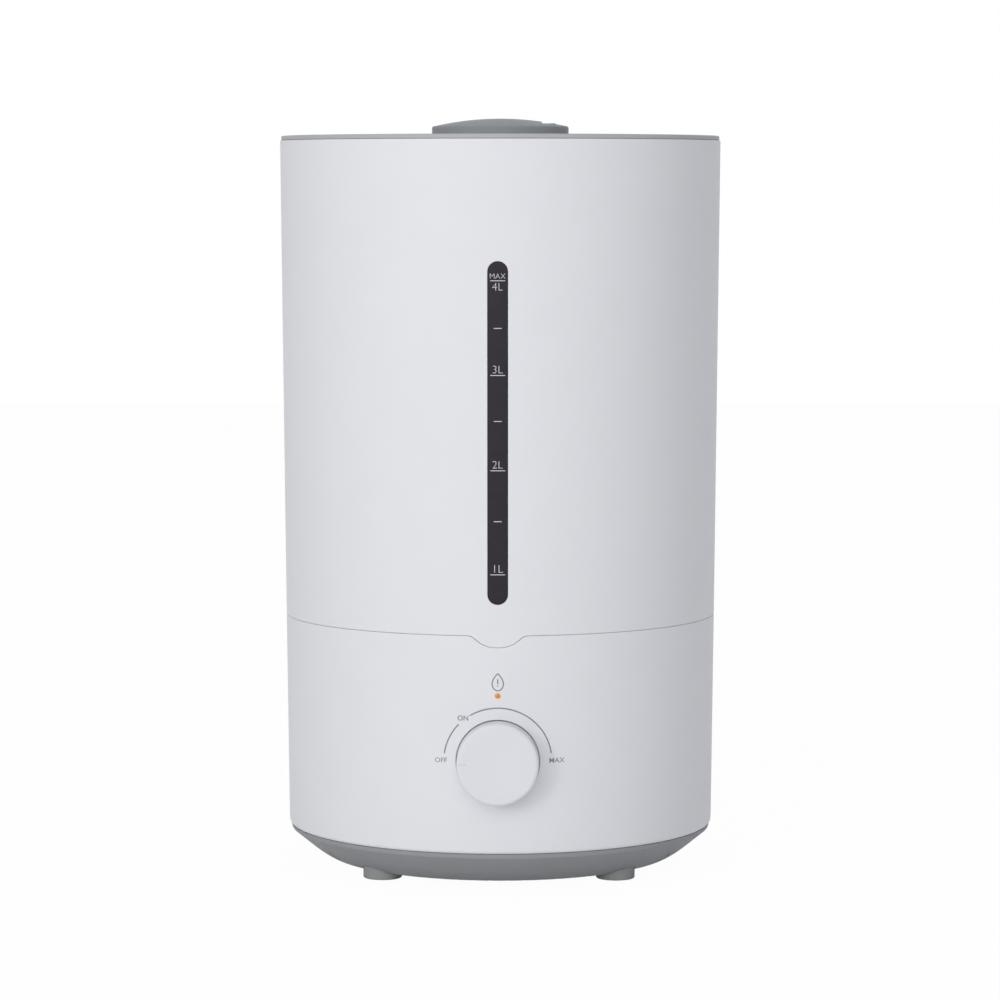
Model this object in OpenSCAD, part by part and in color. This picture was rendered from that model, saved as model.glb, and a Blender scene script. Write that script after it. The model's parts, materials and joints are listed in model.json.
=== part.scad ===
// Ultrasonic cool mist humidifier, top filled: base with basin and electronics, lift-off tank,
// lift-off lid and a turning mist nozzle. Millimetres, +Z up, the front faces -Y, and the origin
// is on the table under the middle of the whole, knob included.

/* [Body] */
// Radius of the housing at its bottom edge
housing_bottom_r = 92; // [86:0.5:100]
// Radius of the body at the seam between base and tank
seam_r = 93; // [88:0.5:101]
// Radius of the tank at its rim
tank_top_r = 95; // [90:0.5:104]
// Height of the housing's bottom edge above the table
housing_z = 17; // [15.5:0.1:20]
// Height of the seam above the table
seam_z = 108.4; // [98:0.1:125]
// Height of the tank from the seam to its rim
tank_h = 204.4; // [180:0.1:240]
// Wall of the base housing
housing_wall = 2.4; // [1.8:0.1:3.2]
// Wall of the tank
tank_wall = 2.2; // [1.6:0.1:3]
// Width of the groove between base and tank
seam_gap = 0.4; // [0.3:0.05:1]
// Rounding of the outer edges of the shells
edge_r = 0.5; // [0.2:0.05:0.9]
// Rounding of the housing's bottom edge
housing_edge_r = 1.4; // [0.6:0.1:2]

/* [Front tab] */
// Half width of the tank's front tab at the seam
tab_half_w = 12.5; // [9:0.1:18]
// Half width of the tab's flat bottom
tab_flat_half_w = 4.8; // [3:0.1:8]
// How far the tab dips below the seam
tab_depth = 4.8; // [3:0.1:8]

/* [Water window] */
// Width of the window
window_w = 8.8; // [6:0.1:14]
// Height of the window, round ends included
window_h = 141.5; // [100:0.5:165]
// Height of the window's lower end above the seam
window_rise = 12.9; // [8:0.1:20]
// Width of the flange behind the tank's wall
window_flange_w = 2.5; // [1.5:0.1:4]
// Thickness of that flange
window_flange_t = 1.2; // [0.8:0.1:2]
// How far the window lies below the wall's surface
window_recess = 0.2; // [0.1:0.05:0.5]

/* [Pan and feet] */
// Height of the pan's underside above the table
pan_z = 2.6; // [2:0.1:4]
// Wall of the pan
pan_wall = 2.4; // [1.8:0.1:3]
// How far the pan's lip steps in from the housing
pan_lip_in = 1.9; // [1:0.1:3]
// Height of the pan's sloping lip
pan_lip_h = 1.6; // [1:0.1:2.4]
// Slope of the pan's side
pan_slope = 40; // [36:1:46]
// Length of the bend on the side of the pan
pan_bend_up = 10.4; // [6:0.1:12]
// Length of the bend on the floor of the pan
pan_bend_in = 3.6; // [2:0.1:6]
// Height of the pan's upstand inside the housing
upstand_h = 5; // [3:0.1:7]
// Wall of the upstand
upstand_wall = 2; // [1.4:0.1:2.4]
// Radius of a rubber foot
foot_r = 8.25; // [6:0.05:9.5]
// Height of a rubber foot, its seat in the pan included
foot_h = 6.8; // [5.8:0.1:8]
// Inset of the feet from the housing's bottom edge
foot_inset = 22; // [20:0.5:26]
// Radius of the stud that holds a foot
foot_stud_r = 2.5; // [2:0.1:3.2]
// Thickness of the pan above a foot
foot_boss_t = 2.4; // [1.8:0.1:3]

/* [Screws] */
// Radius of a screw's shank
screw_r = 1.5; // [1.2:0.05:1.8]
// Radius of a screw's head
screw_head_r = 2.9; // [2.4:0.05:3.2]
// Height of a screw's head
screw_head_h = 1.8; // [1.4:0.1:2.4]
// Length of a long screw below its head
long_screw_l = 14; // [12:0.5:18]
// Length of a short screw below its head
short_screw_l = 7; // [6:0.5:8]
// Wall of a boss round its screw
boss_wall = 2.6; // [2:0.1:3]
// Inset of the pan's screws from the housing's bottom edge
pan_screw_inset = 12; // [10.5:0.1:13]
// Angle of the first pan screw from the X axis
pan_screw_deg = 30; // [28:1:33]

/* [Basin] */
// Depth of the socket that the tank drops into
socket_depth = 16.9; // [14:0.1:20]
// Thickness of the basin's flange
flange_t = 2.5; // [2:0.1:3.2]
// Thickness of the gasket under the flange
gasket_t = 1; // [0.6:0.1:1.6]
// Depth of the basin below its flange
basin_depth = 19.5; // [17:0.1:23]
// Width of the basin's flange
flange_w = 16.2; // [15:0.1:18]
// Wall of the basin
basin_wall = 2.2; // [1.8:0.1:2.8]
// Depth of the transducer's well below the basin's floor
well_depth = 22; // [16:0.1:24]
// Inner radius of the well
well_r = 18; // [17:0.1:19]
// Thickness of the well's floor
well_floor_t = 5; // [4.5:0.1:6]
// Thickness of the housing's ledge
ledge_t = 3; // [2.4:0.1:4]
// Width of the housing's ledge
ledge_w = 7; // [6:0.1:9]
// Inset of the basin's screws from the housing's wall
basin_screw_inset = 9.5; // [9:0.1:10.5]

/* [Transducer] */
// Radius of the ceramic disc
disc_r = 12.5; // [11.5:0.1:13]
// Thickness of the ceramic disc
disc_t = 1.2; // [0.8:0.1:1.6]
// How far the seal grips over the disc's edge
disc_grip = 2; // [1.5:0.1:3]
// Wall of the seal round the disc
seal_wall = 2.6; // [2:0.1:2.8]
// Thickness of the seal's lips above and below the disc
seal_lip_t = 1.4; // [1:0.1:2]
// Thickness of the clamp's plate
clamp_t = 2.5; // [2:0.1:3.5]
// Width of the clamp's rim
clamp_rim_w = 4.2; // [4:0.1:5]

/* [Air] */
// Side of the square fan
fan_w = 50; // [46:0.5:52]
// Depth of the fan
fan_t = 15; // [12:0.5:18]
// Inset of the fan's middle from the housing's bottom edge
fan_inset = 46; // [45:0.5:48]
// Gap under the fan, on its posts
fan_lift = 4; // [3.2:0.1:6]
// Gap between the fan's bore and its edge
fan_rim = 1.8; // [1.2:0.1:2.6]
// Radius of the fan's hub
fan_hub_r = 11; // [9:0.1:13]
// Number of fan blades
fan_blades = 7; // [5:1:9]
// Pitch of the blades
blade_pitch = 38; // [28:1:44]
// Thickness of a blade
blade_t = 1.2; // [0.8:0.1:1.8]
// Radius of the fan's shaft
fan_shaft_r = 1.25; // [1:0.05:1.8]
// Width of an air inlet slot
slot_w = 3; // [2:0.1:3.6]
// Distance from one slot to the next
slot_pitch = 5.2; // [4.8:0.1:7]
// Thickness of the inlet filter
filter_t = 2; // [1:0.1:2.8]
// Height of the duct's hood above the fan
hood_h = 10; // [7:0.5:12]
// Wall of the duct
duct_wall = 2; // [1.4:0.1:2.4]
// Inner radius of the basin's air tower
tower_r = 12; // [10.5:0.1:13]
// How far the tower stands out from the fan's middle
tower_shift = 6; // [4:0.5:9]
// Height of the tower above the basin's floor
tower_h = 16; // [12:0.5:18]
// Thickness of the duct's flange and of its gasket
duct_flange_t = 2; // [1.4:0.1:2.6]
// Width of the duct's flange
duct_flange_w = 3.4; // [2.4:0.1:4.4]

/* [Float] */
// Radius of the float
float_r = 11.5; // [9:0.1:13]
// Height of the float
float_h = 8; // [6:0.1:9]
// Radius of the float's post
float_post_r = 3.5; // [3:0.1:4]
// How far the float can rise
float_travel = 7; // [4:0.5:8]
// Gap all round the post
float_gap = 0.6; // [0.4:0.1:1]
// Radius of the cap on the post
float_cap_r = 6; // [5.2:0.1:7]
// Thickness of the cap on the post
float_cap_t = 1.6; // [1.2:0.1:2]

/* [Tank floor and mist tube] */
// Height of the tank's floor above the basin's flange
floor_rise = 5.5; // [5:0.1:7]
// Thickness of the tank's floor
floor_t = 2.4; // [2:0.1:3]
// Width of the ledge that carries the floor
floor_ledge_w = 1.6; // [1.2:0.1:2.4]
// Inner radius of the mist tube
tube_r = 17.2; // [15:0.1:18.5]
// Wall of the mist tube
tube_wall = 1.8; // [1.4:0.1:2.4]
// Height of the collar round the tube's foot
collar_h = 8; // [5:0.5:12]
// Wall of the collar round the tube's foot
collar_wall = 2.2; // [1.8:0.1:3]
// Thickness of the seal under the tube
tube_seal_t = 1; // [0.6:0.1:1.6]
// Gap between the tube's top and the lid's plate
tube_top_gap = 8; // [5:0.5:12]

/* [Valve] */
// Distance of the valve behind the body's middle
valve_y = 52; // [48:0.5:56]
// Inner radius of the valve's port
port_r = 6.5; // [5.5:0.1:7.5]
// Wall of the valve's tubes
port_wall = 2; // [1.6:0.1:2.6]
// Radius of the valve's flange under the tank's floor
valve_flange_r = 14; // [13:0.1:15.5]
// Thickness of the valve's flange
valve_flange_t = 2.6; // [2:0.1:3]
// Height of the seat above the tank's floor
seat_rise = 2.6; // [2:0.1:4]
// How far the dip tube reaches below the flange
dip_l = 6; // [4:0.1:7.5]
// Thickness of the valve's rubber washer
washer_t = 1.5; // [1:0.1:2.2]
// Opening of the valve while the tank stands on the base
valve_open = 3; // [2:0.1:4]
// Radius of the plunger's rod
rod_r = 2; // [1.6:0.1:2.4]
// Thickness of the plunger's disc
plunger_t = 1.5; // [1.2:0.1:2.2]
// Length of the spring while the tank stands on the base
spring_l = 12; // [10:0.5:16]
// Radius of the spring's wire
wire_r = 0.4; // [0.3:0.05:0.6]
// Number of turns of the spring
spring_turns = 6; // [4:1:7]
// How far a finger can still press the plunger in
press_travel = 2; // [1:0.1:3]
// Thickness of the cage's top plate
cage_t = 2; // [1.5:0.1:3]

/* [Lid and nozzle] */
// Thickness of the lid's plate
lid_t = 1.8; // [1.5:0.1:3]
// Inset of the lid's edge from the tank's edge
lid_in = 0.5; // [0.3:0.05:1.2]
// Depth of the lid's skirt
lid_skirt_h = 12; // [9:0.5:18]
// Wall of the lid's skirts
lid_wall = 1.8; // [1.4:0.1:2.4]
// Gap between the lid's skirt and the tank
lid_gap = 0.8; // [0.6:0.1:1.2]
// Height of the lid's rubber seal
lid_seal_h = 2; // [1.4:0.1:3]
// Radius of the nozzle cap
cap_r = 29.5; // [27.5:0.1:34]
// Height of the cap's side wall
cap_side_h = 3.6; // [3:0.1:6]
// Height of the dome above the side wall
cap_dome_h = 3.5; // [2.8:0.1:6]
// Wall of the cap
cap_wall = 1.8; // [1.4:0.1:2.2]
// Gap between the cap and the lid's plate
cap_lift = 0.4; // [0.3:0.1:0.8]
// Distance of the outlet's step from the cap's middle
outlet_x = 18; // [16:0.1:19]
// Depth of the step beside the outlet, at the middle
outlet_step = 0.9; // [0.6:0.05:1.3]
// Width of the outlet, across the step
outlet_w = 4.8; // [4.4:0.1:5.2]
// Length of the outlet, along the step
outlet_l = 21; // [14:0.5:22]
// Height of the lid's collar that the cap turns on
cap_collar_h = 2.2; // [1.6:0.1:3]
// Depth of the baffle's cup below the cap
baffle_h = 5; // [3:0.5:7]

/* [Dial] */
// How far the dial's middle lies below the seam
dial_drop = 52.4; // [50:0.1:56]
// Radius of the knob
knob_r = 17; // [14:0.1:19]
// How far the knob stands out of the housing
knob_out = 10; // [8:0.1:13]
// Crown of the knob's face
knob_crown = 0.5; // [0.2:0.05:1]
// Rounding of the knob's edge
knob_edge_r = 1.8; // [1:0.1:2.4]
// Wall of the knob
knob_wall = 2.2; // [1.6:0.1:2.8]
// Gap between the knob and its recess
knob_gap = 0.45; // [0.35:0.05:0.8]
// Depth of the knob's recess at its middle
recess_depth = 2.9; // [2.4:0.1:3.4]
// Radius of the dial's shaft
shaft_r = 3; // [2.5:0.1:3.4]
// Wall of the dial's bushing
bushing_wall = 1; // [0.8:0.1:1.4]
// Radius of the potentiometer's body
pot_r = 8.5; // [7:0.1:9]
// Length of the potentiometer's body
pot_l = 8.5; // [7:0.1:9]

/* [Indicator] */
// How far the indicator's lens lies below the seam
lens_drop = 24.9; // [23:0.1:27]
// Radius of the lens
lens_r = 1; // [0.8:0.05:1.5]
// Radius of the light emitting diode
diode_r = 1.5; // [1.2:0.1:2.2]
// Inset of the indicator's board from the housing's surface
indicator_inset = 8.4; // [7.5:0.1:9]
// Width of the indicator's board
indicator_board_w = 19; // [14:0.5:20]
// Height of the indicator's board
indicator_board_h = 9; // [7:0.5:10]

/* [Electronics] */
// Thickness of the circuit boards
board_t = 1.6; // [1.2:0.1:2]
// Height of the boards above the pan's floor
board_lift = 11; // [9:0.5:14]
// Length of the driver board, along X
driver_l = 54; // [48:0.5:56]
// Width of the driver board, along Y
driver_w = 42; // [36:0.5:44]
// Length of the power board, along X
power_l = 48; // [44:0.5:50]
// Width of the power board, along Y
power_w = 28; // [24:0.5:29]
// Inset of the driver board's middle from the housing
driver_inset = 47; // [45:0.5:50]
// Inset of the power board's middle from the housing
power_inset = 42; // [41:0.5:46]
// Shift of the power board to the left of the middle
power_shift = 17; // [14:0.5:20]
// Length of the heat sink, along X
sink_l = 24; // [16:0.5:26]
// Width of the heat sink, along Y
sink_w = 30; // [20:0.5:32]
// Height of the heat sink
sink_h = 16; // [10:0.5:20]
// Thickness of the heat sink's base
sink_base_t = 2.5; // [1.5:0.1:4]
// Thickness of a fin
sink_fin_t = 1.4; // [0.8:0.1:2]
// Number of fins on the heat sink
sink_fins = 6; // [4:1:7]
// Radius of the driver's coil, to the middle of its windings
coil_r = 5; // [4:0.1:6]
// Thickness of the coil's windings
coil_t = 3.6; // [2:0.1:4]
// Length of the transformer's core
core_l = 20; // [14:0.5:22]
// Width of the transformer's core
core_w = 17; // [12:0.5:18]
// Height of the transformer
transformer_h = 17; // [12:0.5:20]
// Width of the transformer's winding
winding_w = 22; // [18:0.5:24]
// Radius of a smoothing capacitor
can_r = 4; // [3:0.1:4.4]
// Height of a smoothing capacitor
can_h = 14; // [9:0.5:18]
// Width of the mains terminal
terminal_w = 13; // [8:0.5:14]
// Height of the mains terminal
terminal_h = 9; // [6:0.5:14]
// Length of the level sensor
sensor_l = 16; // [10:0.5:20]
// Length of a lead's straight start and end
lead_bend = 8; // [6:0.5:9]
// Radius of a lead
lead_r = 0.8; // [0.5:0.05:1]

/* [Cord gland] */
// Radius of the gland's bore
gland_bore_r = 3.1; // [2.5:0.05:3.8]
// Wall of the gland's neck
gland_wall = 2.2; // [1.6:0.1:2.8]
// Width of the gland's flanges
gland_flange_w = 2.2; // [1.5:0.1:3]
// Thickness of the gland's flanges
gland_flange_t = 1.5; // [1:0.1:2]
// Height of the gland above the table
gland_z = 33; // [31:0.5:38]

/* [Fits] */
// Gap round a shaft or rod in its bore
run_fit = 0.06; // [0.03:0.01:0.09]
// Gap between pieces that are put together once
join_fit = 0.1; // [0.05:0.01:0.2]
// Gap between the tank's spigot and the housing
spigot_gap = 0.5; // [0.4:0.05:0.9]
// Gap under a piece that rests on another and lifts off
rest_gap = 0.2; // [0.1:0.05:0.4]

/* [Hidden] */

fine = 96;
small = 32;
cut = 1; // how far a cutter runs past a face

side_angles = [-1, 1];

// ---- heights
tank_top_z = seam_z + tank_h;
tank_bottom_z = seam_z + seam_gap / 2;
housing_top_z = seam_z - seam_gap / 2;
flange_z = seam_z - socket_depth;
ledge_z = flange_z - flange_t - gasket_t;
basin_floor_z = flange_z - basin_depth;
well_floor_z = basin_floor_z - well_depth;
well_under_z = well_floor_z - well_floor_t;
pan_floor_z = pan_z + pan_wall;
board_z = pan_floor_z + board_lift;
fan_z = pan_floor_z + fan_lift;
hood_z = fan_z + fan_t;
tank_floor_z = flange_z + floor_rise;
tank_floor_top_z = tank_floor_z + floor_t;
dial_z = seam_z - dial_drop;
lens_z = seam_z - lens_drop;
lid_z = tank_top_z + rest_gap;
lid_top_z = lid_z + lid_t;

// ---- the outer cones of the base and of the tank
function housing_r_at(z) =
    housing_bottom_r + (seam_r - housing_bottom_r) * (z - housing_z) / (seam_z - housing_z);
function tank_r_at(z) = seam_r + (tank_top_r - seam_r) * (z - seam_z) / tank_h;

// ---- places in plan
foot_ring_r = housing_bottom_r - foot_inset;
pan_screw_ring_r = housing_bottom_r - pan_screw_inset;
pan_screw_angles = [pan_screw_deg, 180 - pan_screw_deg, 180 + pan_screw_deg, -pan_screw_deg];
fan_x = housing_bottom_r - fan_inset;
tower_x = fan_x + tower_shift;
flange_outer_r = housing_r_at(ledge_z) - housing_wall - 3 * join_fit;
basin_r = flange_outer_r - flange_w;
basin_screw_ring_r = housing_r_at(ledge_z) - housing_wall - basin_screw_inset;
corner_angles = [45, 135, 225, 315];
clamp_screw_angles = [90, 210, 330];
float_pos = [-0.67 * basin_r, -0.16 * basin_r];
driver_pos = [driver_inset - housing_bottom_r, 0];
power_pos = [-power_shift, housing_bottom_r - power_inset];

// ---- the socket, the tank's spigot and its floor
spigot_r = housing_r_at(flange_z) - housing_wall - spigot_gap;
spigot_in_r = spigot_r - tank_wall;

// ---- screw sizes that follow from the screw
boss_r = screw_r + boss_wall;
well_screw_r = screw_head_r + 0.5;

// ---- the pan's outline
pan_rim_r = housing_r_at(housing_z) - housing_edge_r / 2;
pan_lip = [pan_rim_r - pan_lip_in, housing_z - pan_lip_h];
upstand_r = housing_r_at(housing_z) - housing_wall - 2 * join_fit;

// ---- transducer stack, from the well's floor downwards
seal_h = disc_t + 2 * seal_lip_t;
seal_r = disc_r + seal_wall;
seal_z = well_under_z - seal_h;
clamp_in_r = seal_r + join_fit;
clamp_r = clamp_in_r + clamp_rim_w;
clamp_z = seal_z - clamp_t;
clamp_screw_ring_r = clamp_in_r + clamp_rim_w / 2;

// ---- the valve, from the tank's floor
neck_r = port_r + port_wall;
seat_z = tank_floor_top_z + seat_rise;
valve_flange_z = tank_floor_z - gasket_t - valve_flange_t;
dip_z = valve_flange_z - dip_l;
washer_z = seat_z + valve_open;
plunger_z = washer_z + washer_t;
spring_z = plunger_z + plunger_t;
cage_z = spring_z + spring_l;
rod_bottom_z = dip_z + 1;
lifter_z = rod_bottom_z - rest_gap;
cage_leg_r = neck_r + port_wall + join_fit;

// ---- the lid and the cap on it
lid_r = tank_top_r - lid_in;
cap_z = lid_top_z + cap_lift;
cap_shoulder_z = cap_z + cap_side_h;
cap_top_z = cap_shoulder_z + cap_dome_h;
dome_r = (pow(cap_r, 2) + pow(cap_dome_h, 2)) / (2 * cap_dome_h);
deck_z = cap_top_z - dome_r + sqrt(pow(dome_r, 2) - pow(outlet_x, 2)) - outlet_step;
cap_ring_r = cap_r - cap_wall - 0.6;
cap_collar_r = cap_ring_r - cap_wall - run_fit;

// ---- the dial, along -Y
dial_surface_y = -housing_r_at(dial_z);
recess_y = dial_surface_y + recess_depth;
recess_r = knob_r + knob_gap;
pot_y = recess_y + housing_wall;
knob_back_y = recess_y - knob_gap;
knob_face_y = dial_surface_y - knob_out;
bushing_r = shaft_r + run_fit + bushing_wall;
nut_t = 1.8;
nut_r = bushing_r + 1.6;

// ---- the indicator, along -Y
lens_y = -housing_r_at(lens_z);
indicator_board_y = lens_y + indicator_inset;
indicator_board_z = lens_z - 0.75 * indicator_board_h;

// ---- the gland, along +Y
gland_surface_y = housing_r_at(gland_z) - 0.6;
gland_r = gland_bore_r + gland_wall;

// ---- how far the body's axis stands behind the origin
axis_y = -(knob_face_y + tank_top_r) / 2;

// ---- colours
white = [0.90, 0.90, 0.92];
light_grey = [0.74, 0.75, 0.77];
pan_grey = [0.55, 0.56, 0.58];
cap_grey = [0.50, 0.52, 0.54];
smoke = [0.20, 0.20, 0.22];
rubber_grey = [0.45, 0.47, 0.47];
clear_white = [0.93, 0.95, 0.97];
board_green = [0.10, 0.38, 0.22];
metal = [0.72, 0.72, 0.74];
copper = [0.72, 0.43, 0.20];
black = [0.12, 0.12, 0.13];
amber = [1.00, 0.62, 0.15];

// ---- helpers

// The knob stands out in front, so the body's axis lies a little behind the middle of the whole.
module on_axis() {
    translate([0, axis_y, 0])
        children();
}

function unit(v) = v / norm(v);

// Points of the arc that rounds corner p, between its neighbours a and b.
function corner(a, p, b, r, steps) =
    r <= 0 ? [p] :
    let (
        u = unit(a - p),
        v = unit(b - p),
        half = acos(u * v) / 2,
        reach = r / tan(half),
        centre = p + unit(u + v) * r / sin(half),
        first = p + u * reach - centre,
        last = p + v * reach - centre,
        from = atan2(first.y, first.x),
        whole = atan2(last.y, last.x) - from,
        turn = whole > 180 ? whole - 360 : whole < -180 ? whole + 360 : whole
    )
    [for (i = [0 : steps]) centre + r * [cos(from + turn * i / steps), sin(from + turn * i / steps)]];

// An outline whose points may carry a rounding radius: [x, y] or [x, y, r].
function rounded(points, steps = 4) = [
    for (i = [0 : len(points) - 1])
        let (
            n = len(points),
            a = points[(i + n - 1) % n],
            p = points[i],
            b = points[(i + 1) % n]
        )
        each corner([a.x, a.y], [p.x, p.y], [b.x, b.y], len(p) > 2 ? p[2] : 0, steps)
];

function bezier(a, b, c, t) = a * pow(1 - t, 2) + b * 2 * t * (1 - t) + c * pow(t, 2);

module rod(r, h, sides = small) {
    cylinder(r = r, h = h, $fn = sides);
}

module drum(r, h) {
    rod(r, h, fine);
}

// A block whose middle along X is at 0.
module slab(l, w, h) {
    translate([-l / 2, 0, 0])
        cube([l, w, h]);
}

module ring(outer, inner, height) {
    difference() {
        drum(outer, height);
        translate([0, 0, -cut])
            drum(inner, height + 2 * cut);
    }
}

// Spins an outline of [radius, height] points about Z.
module turned(points) {
    rotate_extrude($fn = fine)
        polygon(points);
}

// Lays a child drawn upwards from z = 0 along -Y, starting at y.
module facing_front(y, z) {
    translate([0, y, z])
        rotate([90, 0, 0])
            children();
}

module stadium(w, h) {
    translate([0, w / 2])
        circle(d = w, $fn = small);
    translate([0, h - w / 2])
        circle(d = w, $fn = small);
    translate([-w / 2, w / 2])
        square([w, h - w]);
}

// A pan head screw with a cross recess, head on z = 0 and shank below.
module screw(length) {
    difference() {
        union() {
            cylinder(r1 = screw_head_r, r2 = screw_head_r * 0.8, h = screw_head_h, $fn = small);
            translate([0, 0, -length])
                rod(screw_r, length + screw_head_h / 2);
        }
        for (a = [0, 90])
            rotate([0, 0, a])
                translate([-screw_head_r * 0.55, -screw_r * 0.2, screw_head_h * 0.45])
                    cube([screw_head_r * 1.1, screw_r * 0.4, screw_head_h]);
    }
}

module at_ring(radius, angles) {
    for (a = angles)
        rotate([0, 0, a])
            translate([radius, 0, 0])
                children();
}

module at_corners(dx, dy) {
    for (sx = side_angles, sy = side_angles)
        translate([sx * dx / 2, sy * dy / 2, 0])
            children();
}

// A lead swept along its points; up is any direction that no stretch of it follows.
function lead_ring(point, along, up, r, sides) =
    let (
        side = unit(cross(along, up)),
        over = cross(side, along)
    )
    [for (k = [0 : sides - 1]) point + r * (cos(360 * k / sides) * side + sin(360 * k / sides) * over)];

module swept(points, up, r, sides = 8) {
    last = len(points) - 1;
    rings = [
        for (i = [0 : last])
            let (along = unit(points[min(i + 1, last)] - points[max(i - 1, 0)]))
            each lead_ring(points[i], along, up, r, sides)
    ];
    walls = [
        for (i = [0 : last - 1], k = [0 : sides - 1])
            [
                i * sides + k,
                i * sides + (k + 1) % sides,
                (i + 1) * sides + (k + 1) % sides,
                (i + 1) * sides + k
            ]
    ];
    start_face = [for (k = [sides - 1 : -1 : 0]) k];
    end_face = [for (k = [0 : sides - 1]) last * sides + k];
    polyhedron(points = rings, faces = concat(walls, [start_face, end_face]));
}

// A smooth run through the middles of a chain of guide points.
function smooth_run(guides, steps = 4) = concat(
    [guides[0]],
    [
        for (i = [1 : len(guides) - 2], k = [0 : steps])
            let (
                a = (guides[i - 1] + guides[i]) / 2,
                b = guides[i],
                c = (guides[i] + guides[i + 1]) / 2
            )
            if (k > 0 || i == 1) bezier(a, b, c, k / steps)
    ],
    [guides[len(guides) - 1]]
);

// ---- base: feet, pan and housing

module at_feet() {
    at_ring(foot_ring_r, corner_angles)
        children();
}

module rubber_feet() {
    color(rubber_grey) on_axis()
        at_feet() {
            turned(rounded([[0, 0], [foot_r - 0.2, 0, 0.8], [foot_r, foot_h], [0, foot_h]]));
            translate([0, 0, foot_h - cut])
                rod(foot_stud_r - join_fit, cut + foot_boss_t + 0.5);
            translate([0, 0, foot_h + foot_boss_t])
                cylinder(r1 = foot_stud_r + 0.8, r2 = foot_stud_r - 0.6, h = 1.6, $fn = small);
        }
}

// The pan's side, from its lip down to its floor, moved inwards by a wall.
function pan_side(wall) =
    let (
        along = [cos(pan_slope), sin(pan_slope)],
        top = pan_lip + wall * [-along.y, along.x],
        foot = top - along * (top.y - pan_z - wall) / along.y
    )
    concat([top], [for (i = [0 : 6])
        bezier(foot + along * pan_bend_up, foot, foot - [pan_bend_in, 0], i / 6)]);

// Height of the pan's inner side at a radius near its lip.
function pan_inner_z(r) = pan_side(pan_wall)[0].y - (pan_side(pan_wall)[0].x - r) * tan(pan_slope);

module pan_shell() {
    outer = pan_side(0);
    inner = pan_side(pan_wall);
    upstand_in_r = upstand_r - upstand_wall;
    upstand_z = housing_z + upstand_h;
    turned(concat(
        [[pan_rim_r, housing_z]],
        outer,
        [[0, pan_z], [0, pan_floor_z]],
        [for (i = [len(inner) - 1 : -1 : 1]) inner[i]],
        [
            [upstand_in_r, pan_inner_z(upstand_in_r)],
            [upstand_in_r, upstand_z],
            [upstand_r, upstand_z],
            [upstand_r, housing_z]
        ]
    ));
}

// All that lies above the pan's outer surface.
module above_pan() {
    turned(concat(
        [[pan_rim_r, housing_z]],
        pan_side(0),
        [[0, pan_z], [0, housing_z + 40], [pan_rim_r, housing_z + 40]]
    ));
}

pan_boss_z = housing_z - 1;
pan_screw_seat_z = pan_boss_z - 3;
well_wall = 1.6;
post_r = screw_r + 1.6;
board_inset = 3.5;
fan_hole_inset = 4;

module at_board_posts(place, l, w) {
    translate([place.x, place.y, 0])
        at_corners(l - 2 * board_inset, w - 2 * board_inset)
            children();
}

module at_all_board_posts() {
    at_board_posts(driver_pos, driver_l, driver_w)
        children();
    at_board_posts(power_pos, power_l, power_w)
        children();
}

module at_fan_holes() {
    translate([fan_x, 0, 0])
        at_corners(fan_w - 2 * fan_hole_inset, fan_w - 2 * fan_hole_inset)
            children();
}

module base_pan() {
    slot_reach = fan_w / 2 - fan_rim;
    slot_count = floor((slot_reach - slot_w / 2) / slot_pitch);
    color(pan_grey) on_axis()
        difference() {
            union() {
                pan_shell();
                intersection() {
                    union() {
                        at_feet()
                            drum(foot_r + well_wall, foot_h + foot_boss_t);
                        at_ring(pan_screw_ring_r, pan_screw_angles)
                            drum(well_screw_r + well_wall, pan_boss_z);
                        at_fan_holes()
                            rod(post_r, fan_z);
                        at_all_board_posts()
                            rod(post_r, board_z);
                    }
                    above_pan();
                }
            }
            at_feet() {
                drum(foot_r + join_fit, foot_h);
                rod(foot_stud_r, foot_h + foot_boss_t + cut);
            }
            at_ring(pan_screw_ring_r, pan_screw_angles) {
                rod(well_screw_r, pan_screw_seat_z);
                rod(screw_r + join_fit, pan_boss_z + cut);
            }
            at_fan_holes()
                translate([0, 0, fan_z - 4])
                    rod(screw_r, 4 + cut);
            at_all_board_posts()
                translate([0, 0, board_z - short_screw_l])
                    rod(screw_r, short_screw_l + cut);
            for (i = [-slot_count : slot_count]) {
                half_l = sqrt(pow(slot_reach, 2) - pow(abs(i) * slot_pitch + slot_w / 2, 2));
                translate([fan_x + i * slot_pitch, -half_l, pan_z - cut])
                    slab(slot_w, 2 * half_l, pan_wall + 2 * cut);
            }
        }
}

module pan_screws() {
    color(metal) on_axis()
        at_ring(pan_screw_ring_r, pan_screw_angles)
            translate([0, 0, pan_screw_seat_z])
                mirror([0, 0, 1])
                    screw(long_screw_l);
}

tab_steps = 12;

// The front tab's outline below the seam, grown by a gap all round.
module tab_outline(grow, above) {
    function side(t) = [
        tab_half_w + (tab_flat_half_w - tab_half_w) * t + grow,
        -(tab_depth + grow) * (1 - cos(180 * t)) / 2
    ];
    right = [for (i = [0 : tab_steps]) side(i / tab_steps)];
    left = [for (i = [tab_steps : -1 : 0]) [-right[i].x, right[i].y]];
    polygon(concat([[right[0].x, above]], right, left, [[left[tab_steps].x, above]]));
}

module tab_prism(grow, above) {
    facing_front(-seam_r / 2, seam_z)
        linear_extrude(height = seam_r)
            tab_outline(grow, above);
}

gland_pad_t = 3.2;
gland_flange_r = gland_r + gland_flange_w;
recess_wall = housing_wall;

module facing_back(y, z) {
    translate([0, y, z])
        rotate([-90, 0, 0])
            children();
}

module housing_shell() {
    turned(rounded([
        [housing_r_at(housing_z), housing_z, housing_edge_r],
        [seam_r, housing_top_z, edge_r],
        [seam_r - housing_wall, housing_top_z, edge_r / 2],
        [housing_r_at(housing_z) - housing_wall, housing_z]
    ]));
}

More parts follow.
